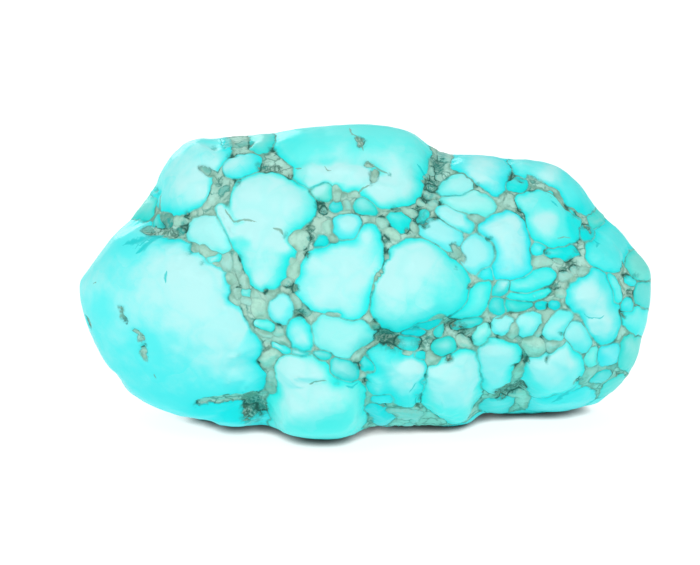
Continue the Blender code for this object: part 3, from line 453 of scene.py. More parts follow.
# dark hollows and the stain round them: across, up, radius, amount
pits = [
    (-20.0, 19.3, 0.40, 0.7), (-18.9, 20.2, 0.45, 0.5), (-17.9, 19.1, 0.30, 0.8),
    (-16.8, 19.7, 0.40, 1.1), (-16.4, 20.7, 0.25, 0.9), (-16.2, 17.3, 0.30, 0.7),
    (-14.9, 16.2, 0.25, 0.7), (-13.7, 26.8, 0.25, 1.0), (-12.1, 26.0, 0.30, 1.0),
    (-13.3, 23.8, 0.35, 0.9), (-11.6, 23.5, 0.35, 1.0), (-11.2, 26.5, 0.40, 0.7),
    (-10.3, 27.1, 0.25, 1.0), (-8.3, 26.8, 0.25, 1.0), (-9.7, 25.1, 0.35, 0.9),
    (-8.9, 25.0, 0.35, 1.2), (-8.0, 24.8, 0.25, 1.0), (-6.9, 24.4, 0.30, 0.9),
    (-4.3, 21.7, 0.35, 1.1), (-3.7, 21.2, 0.35, 0.9), (-11.3, 16.5, 0.25, 1.0),
    (-11.5, 13.9, 0.20, 0.9), (-9.0, 13.5, 0.25, 1.0), (-4.85, 19.2, 0.30, 1.2),
    (-5.0, 18.4, 0.20, 1.1), (-5.4, 17.5, 0.15, 0.9), (-5.2, 16.8, 0.35, 1.1),
    (-7.2, 18.7, 0.25, 0.8), (-6.4, 13.8, 0.35, 0.9), (-5.9, 11.4, 0.35, 1.2),
    (-7.8, 10.3, 0.30, 0.9), (-10.1, 6.3, 0.20, 0.8), (-10.7, 3.0, 0.45, 0.9),
    (-10.2, 2.6, 0.50, 1.0), (-9.8, 2.1, 0.45, 0.8), (-10.8, 2.2, 0.50, 0.5),
    (-9.4, 1.6, 0.35, 0.6), (7.0, 26.1, 0.50, 0.8), (-15.3, 3.6, 0.25, 0.8),
    (-19.95, 8.6, 0.25, 1.0), (-0.2, 26.8, 0.40, 0.7), (2.2, 24.35, 0.15, 0.9),
    (0.5, 23.3, 0.20, 0.8), (3.0, 21.3, 0.30, 0.9), (1.6, 20.6, 0.30, 0.9), (4.6, 20.2, 0.25, 1.0),
    (5.5, 19.8, 0.35, 1.2), (6.4, 20.3, 0.25, 0.9), (3.75, 19.05, 0.25, 1.2),
    (2.0, 19.5, 0.20, 0.9), (1.75, 18.3, 0.30, 1.1), (1.8, 17.25, 0.22, 1.2),
    (4.8, 21.55, 0.25, 0.9), (5.5, 22.6, 0.30, 0.8), (6.1, 23.7, 0.35, 1.0), (6.3, 24.5, 0.30, 1.0),
    (6.9, 25.5, 0.35, 1.0), (6.9, 21.9, 0.25, 0.8), (10.2, 23.8, 0.25, 1.0),
    (13.3, 24.6, 0.30, 1.1), (14.2, 24.2, 0.25, 1.0), (15.4, 23.4, 0.35, 0.9),
    (16.8, 22.9, 0.25, 0.6), (14.15, 21.45, 0.28, 1.2), (14.6, 20.8, 0.22, 1.0),
    (20.45, 19.8, 0.35, 1.2), (20.8, 19.3, 0.25, 0.9), (11.45, 18.5, 0.25, 1.0),
    (16.8, 17.2, 0.25, 1.0), (18.9, 16.2, 0.30, 1.0), (19.3, 17.2, 0.20, 0.9),
    (18.1, 15.4, 0.25, 0.9), (17.5, 13.9, 0.30, 0.9), (24.2, 15.0, 0.30, 1.0),
    (24.5, 13.2, 0.30, 1.1), (8.2, 15.6, 0.25, 0.8), (13.3, 11.2, 0.25, 0.8),
    (16.6, 11.8, 0.25, 0.9), (11.4, 10.0, 0.25, 1.0), (12.3, 9.0, 0.20, 0.9),
    (13.9, 8.9, 0.20, 0.8), (16.1, 8.9, 0.20, 0.8), (17.9, 9.4, 0.22, 0.9), (9.9, 8.8, 0.30, 1.0),
    (7.7, 7.2, 0.30, 1.0), (2.0, 8.9, 0.60, 1.3), (2.7, 8.8, 0.35, 0.9), (1.3, 9.9, 0.30, 0.8),
    (0.8, 10.8, 0.25, 1.0), (5.3, 8.3, 0.45, 0.9), (6.1, 8.7, 0.35, 0.8), (0.5, 4.5, 0.30, 0.9),
    (0.0, 6.2, 0.30, 0.9), (-0.6, 6.5, 0.35, 0.6), (5.3, 3.2, 0.25, 0.9), (5.9, 5.4, 0.25, 0.9),
    (4.9, 2.4, 0.25, 0.9), (2.2, 2.3, 0.25, 0.8), (14.4, 6.9, 0.35, 1.0), (14.7, 7.1, 0.20, 0.9),
    (13.7, 6.1, 0.25, 1.0), (12.3, 3.6, 0.35, 1.0), (13.1, 3.9, 0.30, 0.9), (14.3, 3.8, 0.30, 0.8),
    (16.7, 7.5, 0.22, 0.9), (19.2, 5.35, 0.22, 0.9), (23.5, 5.7, 0.25, 0.8),
    (23.7, 11.2, 0.25, 0.9), (24.0, 10.9, 0.20, 0.8), (4.9, 9.9, 0.40, 0.7), (7.6, 9.9, 0.45, 0.8),
    (9.0, 9.5, 0.40, 0.7), (17.7, 22.7, 0.20, 0.6), (18.7, 21.7, 0.30, 0.8),
    (19.5, 20.8, 0.35, 0.9), (19.6, 18.3, 0.35, 0.8), (12.6, 3.4, 0.50, 1.1),
    (25.2, 15.3, 0.30, 0.8), (14.3, 4.3, 0.30, 0.9), (-6.9, 14.0, 0.50, 0.7),
    (-19.3, 19.4, 0.90, 0.25), (3.4, 8.4, 0.70, 0.6), (5.0, 21.0, 0.50, 0.6),
    (13.4, 3.6, 0.50, 0.7), (6.4, 22.6, 0.60, 0.45), (6.0, 24.0, 0.60, 0.45),
    (19.0, 16.0, 0.60, 0.6), (8.4, 10.0, 0.70, 0.5),
]

# milky clouds of the front, partly painted light; the negative ones along the bottom and the top
# edge are painted shade: across, up, radius, amount
cloudsAndShade = [
    (-15.4, 14.6, 4.4, 0.85), (-13.6, 9.4, 3.4, 0.6), (-12.4, 6.6, 2.0, 0.4),
    (-19.6, 13.4, 3.0, 0.15), (-14.8, 1.8, 2.4, -1.2), (-11.6, 1.7, 2.3, -1.5),
    (-19.5, 9.4, 1.9, -0.35), (-18.4, 18.6, 1.5, -0.4), (-21.5, 17.7, 1.6, -1.0),
    (-16.3, 23.2, 2.2, 0.75), (-14.6, 26.6, 1.6, 0.3), (-9.4, 21.5, 2.8, 0.7),
    (-9.8, 19.7, 2.1, 0.7), (-12.6, 19.8, 1.3, 0.6), (-9.5, 17.0, 1.8, 0.4),
    (-14.2, 19.1, 1.6, 0.8), (-3.6, 24.2, 2.0, 0.95), (-0.8, 24.0, 2.0, 0.8), (2.8, 23.3, 2.2, 0.8),
    (-3.4, 26.6, 1.8, 0.05), (0.4, 27.0, 2.2, -0.1), (3.2, 25.8, 1.8, 0.1), (-6.9, 27.2, 1.7, -0.8),
    (-3.4, 14.6, 2.6, 0.55), (-1.2, 15.8, 2.3, 0.55), (4.5, 15.8, 2.5, 0.8), (2.6, 13.8, 1.8, 0.35),
    (6.4, 11.8, 2.2, -0.35), (-1.5, 9.5, 1.9, 0.6), (-7.7, 12.0, 1.1, 0.6), (13.4, 17.6, 1.8, 0.55),
    (13.0, 19.5, 1.6, 0.55), (10.1, 17.3, 1.5, 0.7), (16.8, 20.0, 1.6, 0.9),
    (16.9, 22.4, 1.0, -0.9), (19.2, 20.2, 1.5, -1.7), (19.4, 18.2, 1.2, -0.5),
    (8.9, 22.3, 1.8, 0.6), (8.2, 23.8, 1.2, 0.5), (10.6, 24.8, 1.6, 0.75), (8.1, 20.3, 1.4, 0.65),
    (6.6, 19.0, 1.5, 0.7), (22.0, 17.2, 1.5, 0.0), (20.5, 13.0, 2.0, 0.6), (21.5, 10.4, 1.6, 0.65),
    (10.8, 9.2, 0.9, 0.4), (12.5, 10.2, 1.0, 0.5), (14.9, 10.3, 1.1, 0.5), (17.4, 10.0, 1.3, 0.5),
    (19.2, 9.4, 1.3, 0.5), (-6.0, 5.1, 2.4, 0.7), (-3.9, 3.1, 2.2, 0.4), (3.8, 6.3, 1.9, 0.75),
    (0.8, 6.4, 0.8, 0.3), (8.0, 5.5, 2.2, 0.7), (11.9, 6.9, 1.9, 0.9), (16.9, 6.4, 1.9, 0.75),
    (15.2, 4.3, 1.3, -1.7), (17.5, 2.6, 2.0, -0.4), (7.6, 1.6, 1.6, -0.3), (3.0, 2.4, 1.6, -0.6),
    (-3.2, 1.2, 2.2, -0.25), (-4.3, 27.8, 2.4, -0.75), (0.8, 28.2, 2.6, -0.35),
    (7.6, 26.0, 1.6, -1.2), (-23.8, 12.0, 2.0, -0.3), (-11.2, 10.4, 1.4, 0.8),
    (-15.0, 17.0, 1.2, 0.6), (-7.0, 21.3, 1.6, 0.5), (-4.8, 23.0, 1.0, 0.5), (1.0, 22.2, 1.0, 0.4),
    (9.8, 4.8, 1.6, 0.6), (-1.3, 19.8, 1.1, 0.9), (11.3, 6.3, 1.2, 0.5), (6.9, 4.2, 1.5, 0.5),
    (5.0, 6.2, 1.2, 0.3), (3.0, 1.8, 1.4, -0.4), (21.8, 14.6, 1.2, -0.6), (-11.5, 1.6, 1.6, -0.6),
    (8.6, 20.2, 1.0, 0.4), (-9.2, 14.4, 1.2, 0.8), (-10.8, 6.0, 1.3, 0.35), (3.4, 4.4, 1.5, 0.6),
    (8.2, 3.8, 1.4, 0.4), (15.6, 6.2, 1.4, 0.5), (21.2, 9.8, 1.0, 0.6), (8.2, 17.6, 1.4, 0.5),
    (-7.0, 17.9, 1.2, 0.9), (-5.2, 8.6, 1.2, 0.7), (9.4, 23.8, 1.0, 0.5), (9.0, 15.9, 1.0, 0.5),
    (12.8, 14.2, 1.2, 0.7), (13.4, 10.4, 1.0, 0.6), (5.2, 11.9, 1.4, 0.35), (1.2, 25.0, 1.4, 0.3),
    (2.6, 7.6, 1.2, -0.5), (11.0, 6.0, 0.9, 0.5), (-11.0, 17.9, 0.8, -0.8), (17.0, 24.2, 1.4, 0.8),
    (20.6, 18.6, 1.4, -0.5), (19.0, 15.8, 1.0, -0.5), (-13.6, 24.6, 1.6, 0.7),
    (-14.6, 22.2, 1.4, 0.6), (1.0, 15.0, 1.6, 0.6), (0.2, 18.6, 1.0, 0.6), (-10.0, 12.4, 1.2, 0.5),
    (-12.6, 15.8, 1.0, 0.4), (-3.2, 12.4, 1.6, 0.6), (-7.0, 12.2, 0.9, 0.4), (-7.4, 8.2, 1.6, 0.5),
    (-8.6, 5.8, 1.2, 0.7), (10.6, 6.2, 1.0, 0.8), (10.4, 16.2, 1.2, 0.4), (13.2, 10.2, 0.9, 0.3),
    (17.8, 7.8, 1.4, 0.4), (2.2, 23.0, 1.2, 0.3), (4.0, 2.0, 1.6, -0.5), (6.6, 2.0, 1.4, -0.4),
    (9.0, 1.8, 1.2, -0.3),
]

# broad valleys of the front, each with its depth and half width
valleys = [
    ([
        (-9.6, 1.2), (-8.9, 4.4), (-8.4, 7.2), (-9.7, 11.2), (-12.2, 15.4), (-16.0, 18.2),
        (-19.5, 20.2),
    ], 0.55, 1.3),
    ([(0.5, 0.9), (0.3, 4.6), (0.4, 7.4), (2.0, 9.0)], 0.6, 1.1),
    ([(0.6, 8.4), (2.0, 9.0), (5.0, 9.5), (8.6, 10.2)], 0.6, 1.3),
    ([(8.6, 10.2), (12.6, 11.1), (17.2, 11.9)], 0.3, 1.3),
    ([(10.7, 1.9), (10.5, 5.0), (10.6, 8.0)], 0.35, 0.9),
    ([(5.9, 1.4), (5.8, 4.5), (6.2, 7.6)], 0.35, 0.8),
    ([(14.2, 2.2), (14.3, 4.4), (14.6, 8.4)], 0.4, 0.9),
    ([(-6.2, 23.8), (-3.6, 21.6), (0.4, 20.9), (4.2, 21.0), (6.2, 22.8), (7.0, 25.6)], 0.45, 1.1),
    ([(-14.0, 27.0), (-13.2, 22.8), (-15.6, 20.4)], 0.4, 0.9),
    ([(8.6, 16.4), (10.2, 14.4), (12.6, 12.4)], 0.3, 0.9),
]

# broad swells of the front: across, up, radius, rise
swells = [
    (4.4, 14.0, 4.6, 1.1), (-3.0, 14.2, 3.6, 0.4), (17.0, 5.6, 3.2, 0.5), (8.3, 4.6, 3.0, 0.5),
    (-8.4, 21.4, 4.0, 0.5),
]


def toWorld(face):
    across, up, out = face.T
    tilt = math.radians(nugget["faceTilt"])
    return np.column_stack([
        across,
        up * math.sin(tilt) - out * math.cos(tilt) - nugget["setBack"],
        up * math.cos(tilt) + out * math.sin(tilt) - nugget["ground"],
    ])


def smoothLoop(knots, steps):  # closed Catmull-Rom curve
    before = np.roll(knots, 1, axis=0)
    after = np.roll(knots, -1, axis=0)
    beyond = np.roll(knots, -2, axis=0)
    rows = []
    for t in np.arange(steps) / steps:
        rows.append(0.5 * (
            2 * knots
            + (after - before) * t
            + (2 * before - 5 * knots + 4 * after - beyond) * t**2
            + (3 * knots - before - 3 * after + beyond) * t**3
        ))
    return np.stack(rows, axis=1).reshape(-1, knots.shape[1])


def ovalRadius(angle):
    length = max(abs(across) for across, up, out in rimLine)
    height = max(up for across, up, out in rimLine) - nugget["centre"][1]
    return 1 / np.hypot(np.cos(angle) / length, np.sin(angle) / height)


def evened(angle, values, degrees):  # running mean round the rim
    apart = (angle[:, None] - angle + math.pi) % (2 * math.pi) - math.pi
    weight = np.exp(-(apart / math.radians(degrees)) ** 2)
    return weight @ values / weight.sum(axis=1)


def rimByAngle():
    curve = smoothLoop(np.array(rimLine), nugget["rimSteps"])
    across = curve[:, 0] - nugget["centre"][0]
    up = curve[:, 1] - nugget["centre"][1]
    found = np.arctan2(up, across)
    order = np.argsort(found)
    angle = np.linspace(-math.pi, math.pi, nugget["rimAngles"], endpoint=False)
    turn = 2 * math.pi
    radius = np.interp(angle, found[order], np.hypot(across, up)[order], period=turn)
    out = np.interp(angle, found[order], curve[order, 2], period=turn)
    oval = ovalRadius(angle)
    return {
        "angle": angle,
        "radius": radius,
        "near": oval * evened(angle, radius / oval, nugget["nearRim"][0]),
        "even": oval * evened(angle, radius / oval, nugget["offRim"][0]),
        "out": evened(angle, out, nugget["nearRim"][0]),
    }


rim = rimByAngle()


def rimAt(angle, what):
    return np.interp(angle, rim["angle"], rim[what], period=2 * math.pi)


def rimOutAt(points):
    across = points[:, 0] - nugget["centre"][0]
    return rimAt(np.arctan2(points[:, 1] - nugget["centre"][1], across), "out")


def blockMesh():  # a cube cut into even cells
    bm = bmesh.new()
    bmesh.ops.create_cube(bm, size=2)
    for axis, cells in enumerate(nugget["cells"]):
        normal = Vector((axis == 0, axis == 1, axis == 2))
        for cut in range(1, cells):
            place = normal * (2 * cut / cells - 1)
            geometry = bm.verts[:] + bm.edges[:] + bm.faces[:]
            bmesh.ops.bisect_plane(bm, geom=geometry, plane_co=place, plane_no=normal)
    bmesh.ops.subdivide_edges(bm, edges=bm.edges[:], cuts=nugget["cuts"], use_grid_fill=True)
    return bm


def bodyPoints(block):  # the block's corners moved onto the smooth body
    spread = np.tan(block * math.pi / 4)
    ball = spread / np.linalg.norm(spread, axis=1, keepdims=True)
    across, depth, up = ball.T
    boxed = 2 / nugget["boxiness"]
    stretch = ovalRadius(0.0) / ovalRadius(math.pi / 2)
    angle = np.arctan2(up, across * stretch)
    reach = np.hypot(across, up) ** boxed
    radius, near, even = rimAt(angle, "radius"), rimAt(angle, "near"), rimAt(angle, "even")
    radius = even + (near - even) * reach ** nugget["offRim"][1] \
        + (radius - near) * reach ** nugget["nearRim"][1]
    thick = np.where(depth < 0, nugget["frontDepth"], nugget["backDepth"]) * np.abs(depth) ** boxed
    return np.column_stack([
        nugget["centre"][0] + radius * reach * np.cos(angle),
        nugget["centre"][1] + radius * reach * np.sin(angle),
        rimAt(angle, "out") * reach**2 - np.sign(depth) * thick,
    ])


def moveTo(bm, points):
    for vert, point in zip(bm.verts, points):
        vert.co = point
    bm.normal_update()


def noiseAt(points, span, shift=0.0):
    shifted = Vector((shift, shift, shift))
    return np.array([noise.noise(Vector(point) / span + shifted) for point in points])


def vectorNoiseAt(points, span):
    return np.array([noise.noise_vector(Vector(point) / span) for point in points])


def blobDepth(offsets, normals, sizes, turn):  # distance inside one blob, along the surface
    cosine, sine = math.cos(math.radians(turn)), math.sin(math.radians(turn))
    first = (offsets[:, 0] * cosine + offsets[:, 1] * sine) / sizes[0]
    second = (-offsets[:, 0] * sine + offsets[:, 1] * cosine) / sizes[1]
    third = offsets[:, 2] / sizes[2]
    reach = np.sqrt(first**2 + second**2 + third**2) + 1e-9
    slope = np.column_stack([
        (first * cosine / sizes[0] - second * sine / sizes[1]) / reach,
        (first * sine / sizes[0] + second * cosine / sizes[1]) / reach,
        third / sizes[2] / reach,
    ])
    slope -= normals * np.sum(slope * normals, axis=1, keepdims=True)
    least = nugget["leastSlope"] / max(sizes[:2])
    return (1 - reach) / np.maximum(np.linalg.norm(slope, axis=1), least)


def smoothMost(depths):  # the largest, run together where they are nearly equal
    most = depths.max(axis=0)
    width = nugget["blendWidth"]
    return most + width * np.log(np.exp((depths - most) / width).sum(axis=0))


def lineDistance(points, line):  # in the face plane
    best = np.full(len(points), np.inf)
    for start, end in zip(line, line[1:]):
        start, along = np.array(start), np.array(end) - np.array(start)
        offset = points[:, :2] - start
        share = np.clip(offset @ along / (along @ along), 0.0, 1.0)
        best = np.minimum(best, np.linalg.norm(offset - share[:, None] * along, axis=1))
    return best


class Stone:  # the smooth body's points, and what the nodules, cracks and pits do at each
    def __init__(self, bm):
        self.points = np.array([vert.co for vert in bm.verts])
        self.normals = np.array([vert.normal for vert in bm.verts])
        self.tree = BVHTree.FromBMesh(bm)
        self.rng = random.Random(nugget["pebbleSeed"])
        fromRim = self.points[:, 2] - rimOutAt(self.points)
        self.fromRim = fromRim
        self.behind = np.maximum(0.0, -fromRim)
        self.ahead = np.maximum(0.0, fromRim)
        self.warped = self.warpedPoints()
        count = len(self.points)
        self.farOff = nugget["farOff"]
        self.near = np.full((nugget["families"], count), self.farOff)  # depth, family by family
        self.tone = np.full((nugget["families"], count, 3), 0.5)  # and colour
        self.most = np.full(count, self.farOff)  # depth inside the nodule that is nearest,
        self.next = np.full(count, self.farOff)  # and inside the next one
        self.size = np.ones(count)  # of the nearest
        self.shadedSide = np.zeros(count)
        self.shore = np.full(count, self.farOff)  # depth inside the nearest that is no pale pebble

    def warpedPoints(self):
        moved = self.points.copy()
        for span, push in nugget["warps"]:
            moved += push * vectorNoiseAt(self.points, span)
        span, push = nugget["backWarp"]
        share = np.clip(self.behind / nugget["backWarpFrom"], 0.0, 1.0)[:, None]
        return moved + push * share * vectorNoiseAt(self.points, span)

    def addNodule(self, index, depth, size, kind, shadedSide=0.0, front=False):
        large, small, other = nugget["swell"]
        swell = np.interp(size, nugget["swellSizes"][::-1], (small, large)) if front else other
        depth = depth + swell
        close = depth > -nugget["clearance"]
        clashes = [near[index][close].max(initial=self.farOff) for near in self.near]
        family = int(np.argmin(np.maximum(clashes, -nugget["clearance"])))
        deeper = depth > self.near[family][index]
        self.near[family][index[deeper]] = depth[deeper]
        self.tone[family][index[deeper]] = self.tintOf(kind)
        most = self.most[index]
        self.next[index] = np.maximum(self.next[index], np.minimum(most, depth))
        self.size[index[depth > most]] = size
        self.shadedSide[index] = np.where(depth > most, shadedSide, self.shadedSide[index])
        if kind not in finish["matrixKinds"]:
            self.shore[index] = np.maximum(self.shore[index], depth)
        self.most[index] = np.maximum(most, depth)

    def tintOf(self, kind):
        red, green, blue = finish[kind]
        spread = finish["paleSpread" if kind == "pale" else "redSpread"]
        vary = self.rng.uniform(-1, 1)
        blue *= 1 + finish["tintSpread"] * self.rng.uniform(-1, 1)
        return red * (1 + spread * vary), green * (1 + finish["tintSpread"] * vary), blue

    def addFaceNodule(self, kind, blobs, side, swell):
        beyond = self.behind if side > 0 else self.ahead
        size = max(math.sqrt(wide * high) for across, up, wide, high, turn in blobs)
        share, least = nugget["overhang"]
        thick = share * size + least
        close = np.zeros(len(self.points), bool)
        for across, up, wide, high, turn in blobs:
            reach = max(wide, high) * swell + nugget["margin"]
            close |= np.abs(self.warped[:, :2] - (across, up)).max(axis=1) < reach
        index = np.nonzero(close & (beyond < thick + nugget["margin"]))[0]
        depths = []
        for across, up, wide, high, turn in blobs:
            plane = self.warped[index, :2] - (across, up)
            offsets = np.column_stack([plane, -side * beyond[index]])
            sizes = (wide * swell, high * swell, thick)
            depths.append(blobDepth(offsets, self.normals[index], sizes, turn))
        front = side > 0 and kind not in finish["matrixKinds"]
        shadedSide = self.shadedSideOf(index, blobs, side)
        self.addNodule(index, smoothMost(np.array(depths)), size, kind, shadedSide, front)

    def shadedSideOf(self, index, blobs, side):  # painted light and shade: from -1 on a nodule's lit, milkier side to 1 on its shaded side
        areas = np.array([wide * high for across, up, wide, high, turn in blobs])
        middle = areas @ np.array([blob[:2] for blob in blobs]) / areas.sum()
        wander = nugget["shadeWander"]
        wander = self.rng.uniform(-wander, wander) * (1 if side > 0 else nugget["backWander"])
        bearing = math.radians(nugget["shadeBearing"] + wander)
        away = (self.points[index, :2] - middle) @ (math.cos(bearing), math.sin(bearing))
        return np.clip(away / math.sqrt(areas.sum()), -1.0, 1.0)

    def addThroughNodule(self, kind, blobs, side):  # of the top, side 1, or the underside, -1
        for across, out, wide, deep, turn in blobs:
            start = Vector((across, nugget["centre"][1] + side * nugget["rayStart"], out))
            spot = np.array(self.tree.ray_cast(start, Vector((0, -side, 0)))[0])
            offsets = (self.warped - spot)[:, [0, 2, 1]]
            reach = max(wide, deep) * nugget["crowding"] + nugget["margin"]
            close = (np.abs(offsets[:, 0]) < reach) & (np.abs(offsets[:, 1]) < reach)
            index = np.nonzero(close & (np.abs(offsets[:, 2]) < nugget["throughReach"]))[0]
            sizes = (wide * nugget["crowding"], deep * nugget["crowding"], nugget["throughReach"])
            depth = blobDepth(offsets[index], self.normals[index][:, [0, 2, 1]], sizes, turn)
            self.addNodule(index, depth, math.sqrt(wide * deep), kind)

    def addPebble(self, spot, wide, high):  # lies square to the surface
        normal = self.normals[spot]
        anyWay = [self.rng.uniform(-1, 1) for axis in range(3)]
        first = np.cross(normal, anyWay)
        first /= np.linalg.norm(first)
        axes = np.array([first, np.cross(normal, first), normal])
        away = self.warped - self.warped[spot]
        index = np.nonzero(np.abs(away).max(axis=1) < wide + nugget["margin"])[0]
        sizes = (wide, high, wide * nugget["pebbleThick"])
        depth = blobDepth(away[index] @ axes.T, self.normals[index] @ axes.T, sizes, 0)
        kinds = finish["frontFilling" if self.onFront(spot) else "backFilling"]
        self.addNodule(index, depth, math.sqrt(wide * high), self.rng.choice(kinds))

    def onFront(self, spot):
        return self.behind[spot] < nugget["frontEdge"]

    def fillGaps(self):
        order = list(range(len(self.points)))
        made = 0
        for least in nugget["pebbleGaps"]:
            self.rng.shuffle(order)
            for spot in order:
                gap = -self.most[spot]
                widest = nugget["frontPebble"] if self.onFront(spot) else nugget["pebbleGaps"][0]
                if gap < least or least > widest:
                    continue
                fill = gap * self.rng.uniform(*nugget["pebbleFill"])
                wide = min(fill, widest * self.rng.uniform(*nugget["pebbleWidest"]))
                self.addPebble(spot, wide, wide * self.rng.uniform(*nugget["pebbleSlim"]))
                made += 1
        return made

    def poolField(self):  # depth inside the matrix let into the nodules
        pool = np.full(len(self.points), self.farOff)
        for across, up, wide, high, turn in matrixPools:
            away = np.hypot(self.warped[:, 0] - across, self.warped[:, 1] - up)
            close = (away < wide + nugget["margin"]) & (self.behind < nugget["markEdge"])
            index = np.nonzero(close)[0]
            offsets = np.column_stack([self.warped[index, :2] - (across, up), np.zeros(len(index))])
            depth = blobDepth(offsets, self.normals[index], (wide, high, 1.0), turn)
            pool[index] = np.maximum(pool[index], depth)
        return pool

    def crackFields(self):  # signed distance from the nearest crack, and its half width there
        nearest = np.full(len(self.points), nugget["crackless"])
        offset = nearest.copy()
        reach, fade = nugget["crackReach"]
        half = np.zeros(len(self.points))
        plane = self.warped[:, :2]
        for line, width, kind in cracks:
            width *= 1 if kind == "blue" else -1  # the sign tells blue from stained
            lengths = [math.dist(start, end) for start, end in zip(line, line[1:])]
            before = 0.0
            for start, end, length in zip(line, line[1:], lengths):
                along = (np.array(end) - start) / length
                away = plane - start
                run = np.clip(away @ along, 0.0, length)
                gap = np.linalg.norm(away - run[:, None] * along, axis=1)
                side = along[0] * away[:, 1] - along[1] * away[:, 0]
                share = (before + run) / sum(lengths)
                taper = np.clip(np.minimum(share, 1 - share) * nugget["crackTaper"], 0, 1)
                taper *= np.clip((reach - gap) / fade, 0, 1)
                closer = (gap < nearest) & (self.behind < nugget["markEdge"])
                nearest[closer] = gap[closer]
                offset[closer] = side[closer]
                half[closer] = (width * taper)[closer]
                before += length
        return offset, half

    def spotField(self, spots, spread=1.0):  # soft spots of the front
        field = np.zeros(len(self.points))
        fade = np.exp(-(self.behind / nugget["spotFade"]) ** 2)
        for across, up, radius, amount in spots:
            away = np.hypot(self.warped[:, 0] - across, self.warped[:, 1] - up)
            field += amount * np.exp(-(away / radius / spread) ** 2) * fade
        return field

    def inside(self):
        return np.minimum(self.most, (self.most - self.next) / 2)

    def height(self):  # of the finished surface over the smooth body
        inside = np.maximum(self.inside(), 0.0)
        inside = np.sqrt(inside**2 + nugget["seamRounding"] ** 2) - nugget["seamRounding"]
        rise = np.clip(nugget["risePerSize"] * self.size, *nugget["rise"])
        shoulder = np.clip(nugget["shoulderPerSize"] * self.size, *nugget["shoulder"])
        share = np.clip(inside / shoulder, 0.0, 1.0)
        height = rise * (1 - (1 - share) ** 2) - nugget["matrixDepth"]
        fade = np.exp(-(self.behind / nugget["frontFade"]) ** 2)
        for line, depth, halfWidth in valleys:
            height -= depth * fade * np.exp(-(lineDistance(self.points, line) / halfWidth) ** 2)
        for across, up, radius, swell in swells:
            away = np.hypot(self.points[:, 0] - across, self.points[:, 1] - up)
            height += swell * fade * np.exp(-(away / radius) ** 2)
        height += self.uneven("lump")
        height *= 1 - (1 - nugget["rimShare"]) * np.exp(-(self.fromRim / nugget["rimBand"]) ** 2)
        return height + self.fineHeight()

    def uneven(self, name, share=1.0):  # noise of that span, height and shift
        span, height, *shift = nugget[name]
        return share * height * noiseAt(self.points, span, *shift)

    def fineHeight(self):  # unevenness, pools, cracks and pits
        solid = np.clip(self.inside() / nugget["solid"], 0.0, 1.0)
        height = self.uneven("wave", solid)
        height += self.uneven("ripple", solid)
        height += self.uneven("grain", 1 - solid)
        pool = np.clip(self.poolField() / nugget["poolEase"] + 0.5, 0.0, 1.0)
        height -= nugget["poolDepth"] * pool * solid
        offset, half = self.crackFields()
        groove, full = nugget["crackGroove"]
        groove = np.exp(-(offset / groove) ** 2)
        height -= nugget["crackDepth"] * groove * np.clip(np.abs(half) / full, 0, 1)
        pit = np.clip(self.spotField(pits), 0.0, nugget["pitMost"])
        return height - nugget["pitDepth"] * pit * (1 - nugget["pitOnNodule"] * solid)


def wornTo(world, box):  # flat where it lies, and eased in where it would stand outside the box
    ease = nugget["ease"] * mm
    low, high = np.array(box)
    over = np.maximum(0.0, world - (high - ease)) / ease
    world = np.where(over > 0, high - ease * np.exp(-over), world)
    under = np.maximum(0.0, (low + ease) - world) / ease
    eased = np.where(under > 0, low + ease * np.exp(-under), world)
    return np.column_stack([eased[:, :2], np.maximum(world[:, 2], 0.0)])


def buildNugget():
    noise.seed_set(nugget["warpSeed"])  # or the vector noise would differ from run to run
    bm = blockMesh()
    block = np.array([vert.co for vert in bm.verts])
    moveTo(bm, bodyPoints(block))
    print("nugget: body of", len(bm.verts), "points")
    stone = Stone(bm)
    for kind, blobs in frontNodules.values():
        stone.addFaceNodule(kind, blobs, 1, 1.0)
    for kind, *blob in frontPebbles:
        stone.addFaceNodule(kind, [blob], 1, 1.0)
    for kind, blobs in backNodules.values():
        stone.addFaceNodule(kind, blobs, -1, nugget["crowding"])
    for kind, blobs in topNodules.values():
        stone.addThroughNodule(kind, blobs, 1)
    for kind, blobs in underNodules.values():
        stone.addThroughNodule(kind, blobs, -1)
    print("nugget: nodules placed,", stone.fillGaps(), "pebbles between them")
    points = stone.points + stone.normals * stone.height()[:, None]
    moveTo(bm, wornTo(toWorld(points) * mm, cadBox))
    bmesh.ops.recalc_face_normals(bm, faces=bm.faces)
    mesh = bpy.data.meshes.new("turquoiseNugget")
    bm.to_mesh(mesh)
    bm.free()
    mesh.shade_smooth()
    writeFields(mesh, stone)
    mesh.materials.append(turquoiseMaterial())
    piece = bpy.data.objects.new("turquoiseNugget", mesh)
    bpy.context.scene.collection.objects.link(piece)
    print("nugget: surface done")
    return piece


def writeField(mesh, name, values):
    vector = values.ndim == 2
    layer = mesh.attributes.new(name, "FLOAT_VECTOR" if vector else "FLOAT", "POINT")
    layer.data.foreach_set("vector" if vector else "value", values.astype(np.float32).ravel())


def writeFields(mesh, stone):  # what the material reads at each point
    for third in range(nugget["families"] // 3):  # three families to a field
        writeField(mesh, f"near{third}", stone.near[3 * third:3 * third + 3].T)
    for family in range(nugget["families"]):
        writeField(mesh, f"tone{family}", stone.tone[family])
    writeField(mesh, "shore", stone.shore)
    offset, half = stone.crackFields()
    writeField(mesh, "marks", np.column_stack([stone.poolField(), offset, half]))
    # milky clouds, less on each nodule's shaded side and near the rim: partly milky colour, partly
    # painted light and painted shade
    bloomAndShade = stone.spotField(cloudsAndShade) - finish["litSideCloud"] * stone.shadedSide
    bloomAndShade -= finish["rimShade"] * np.exp(-(stone.fromRim / nugget["rimBand"]) ** 2)
    stain = stone.spotField(pits, nugget["stainSpread"])
    behind = np.clip(stone.behind / nugget["frontFade"], 0.0, 1.0)
    writeField(mesh, "spots", np.column_stack([stain, bloomAndShade, behind]))


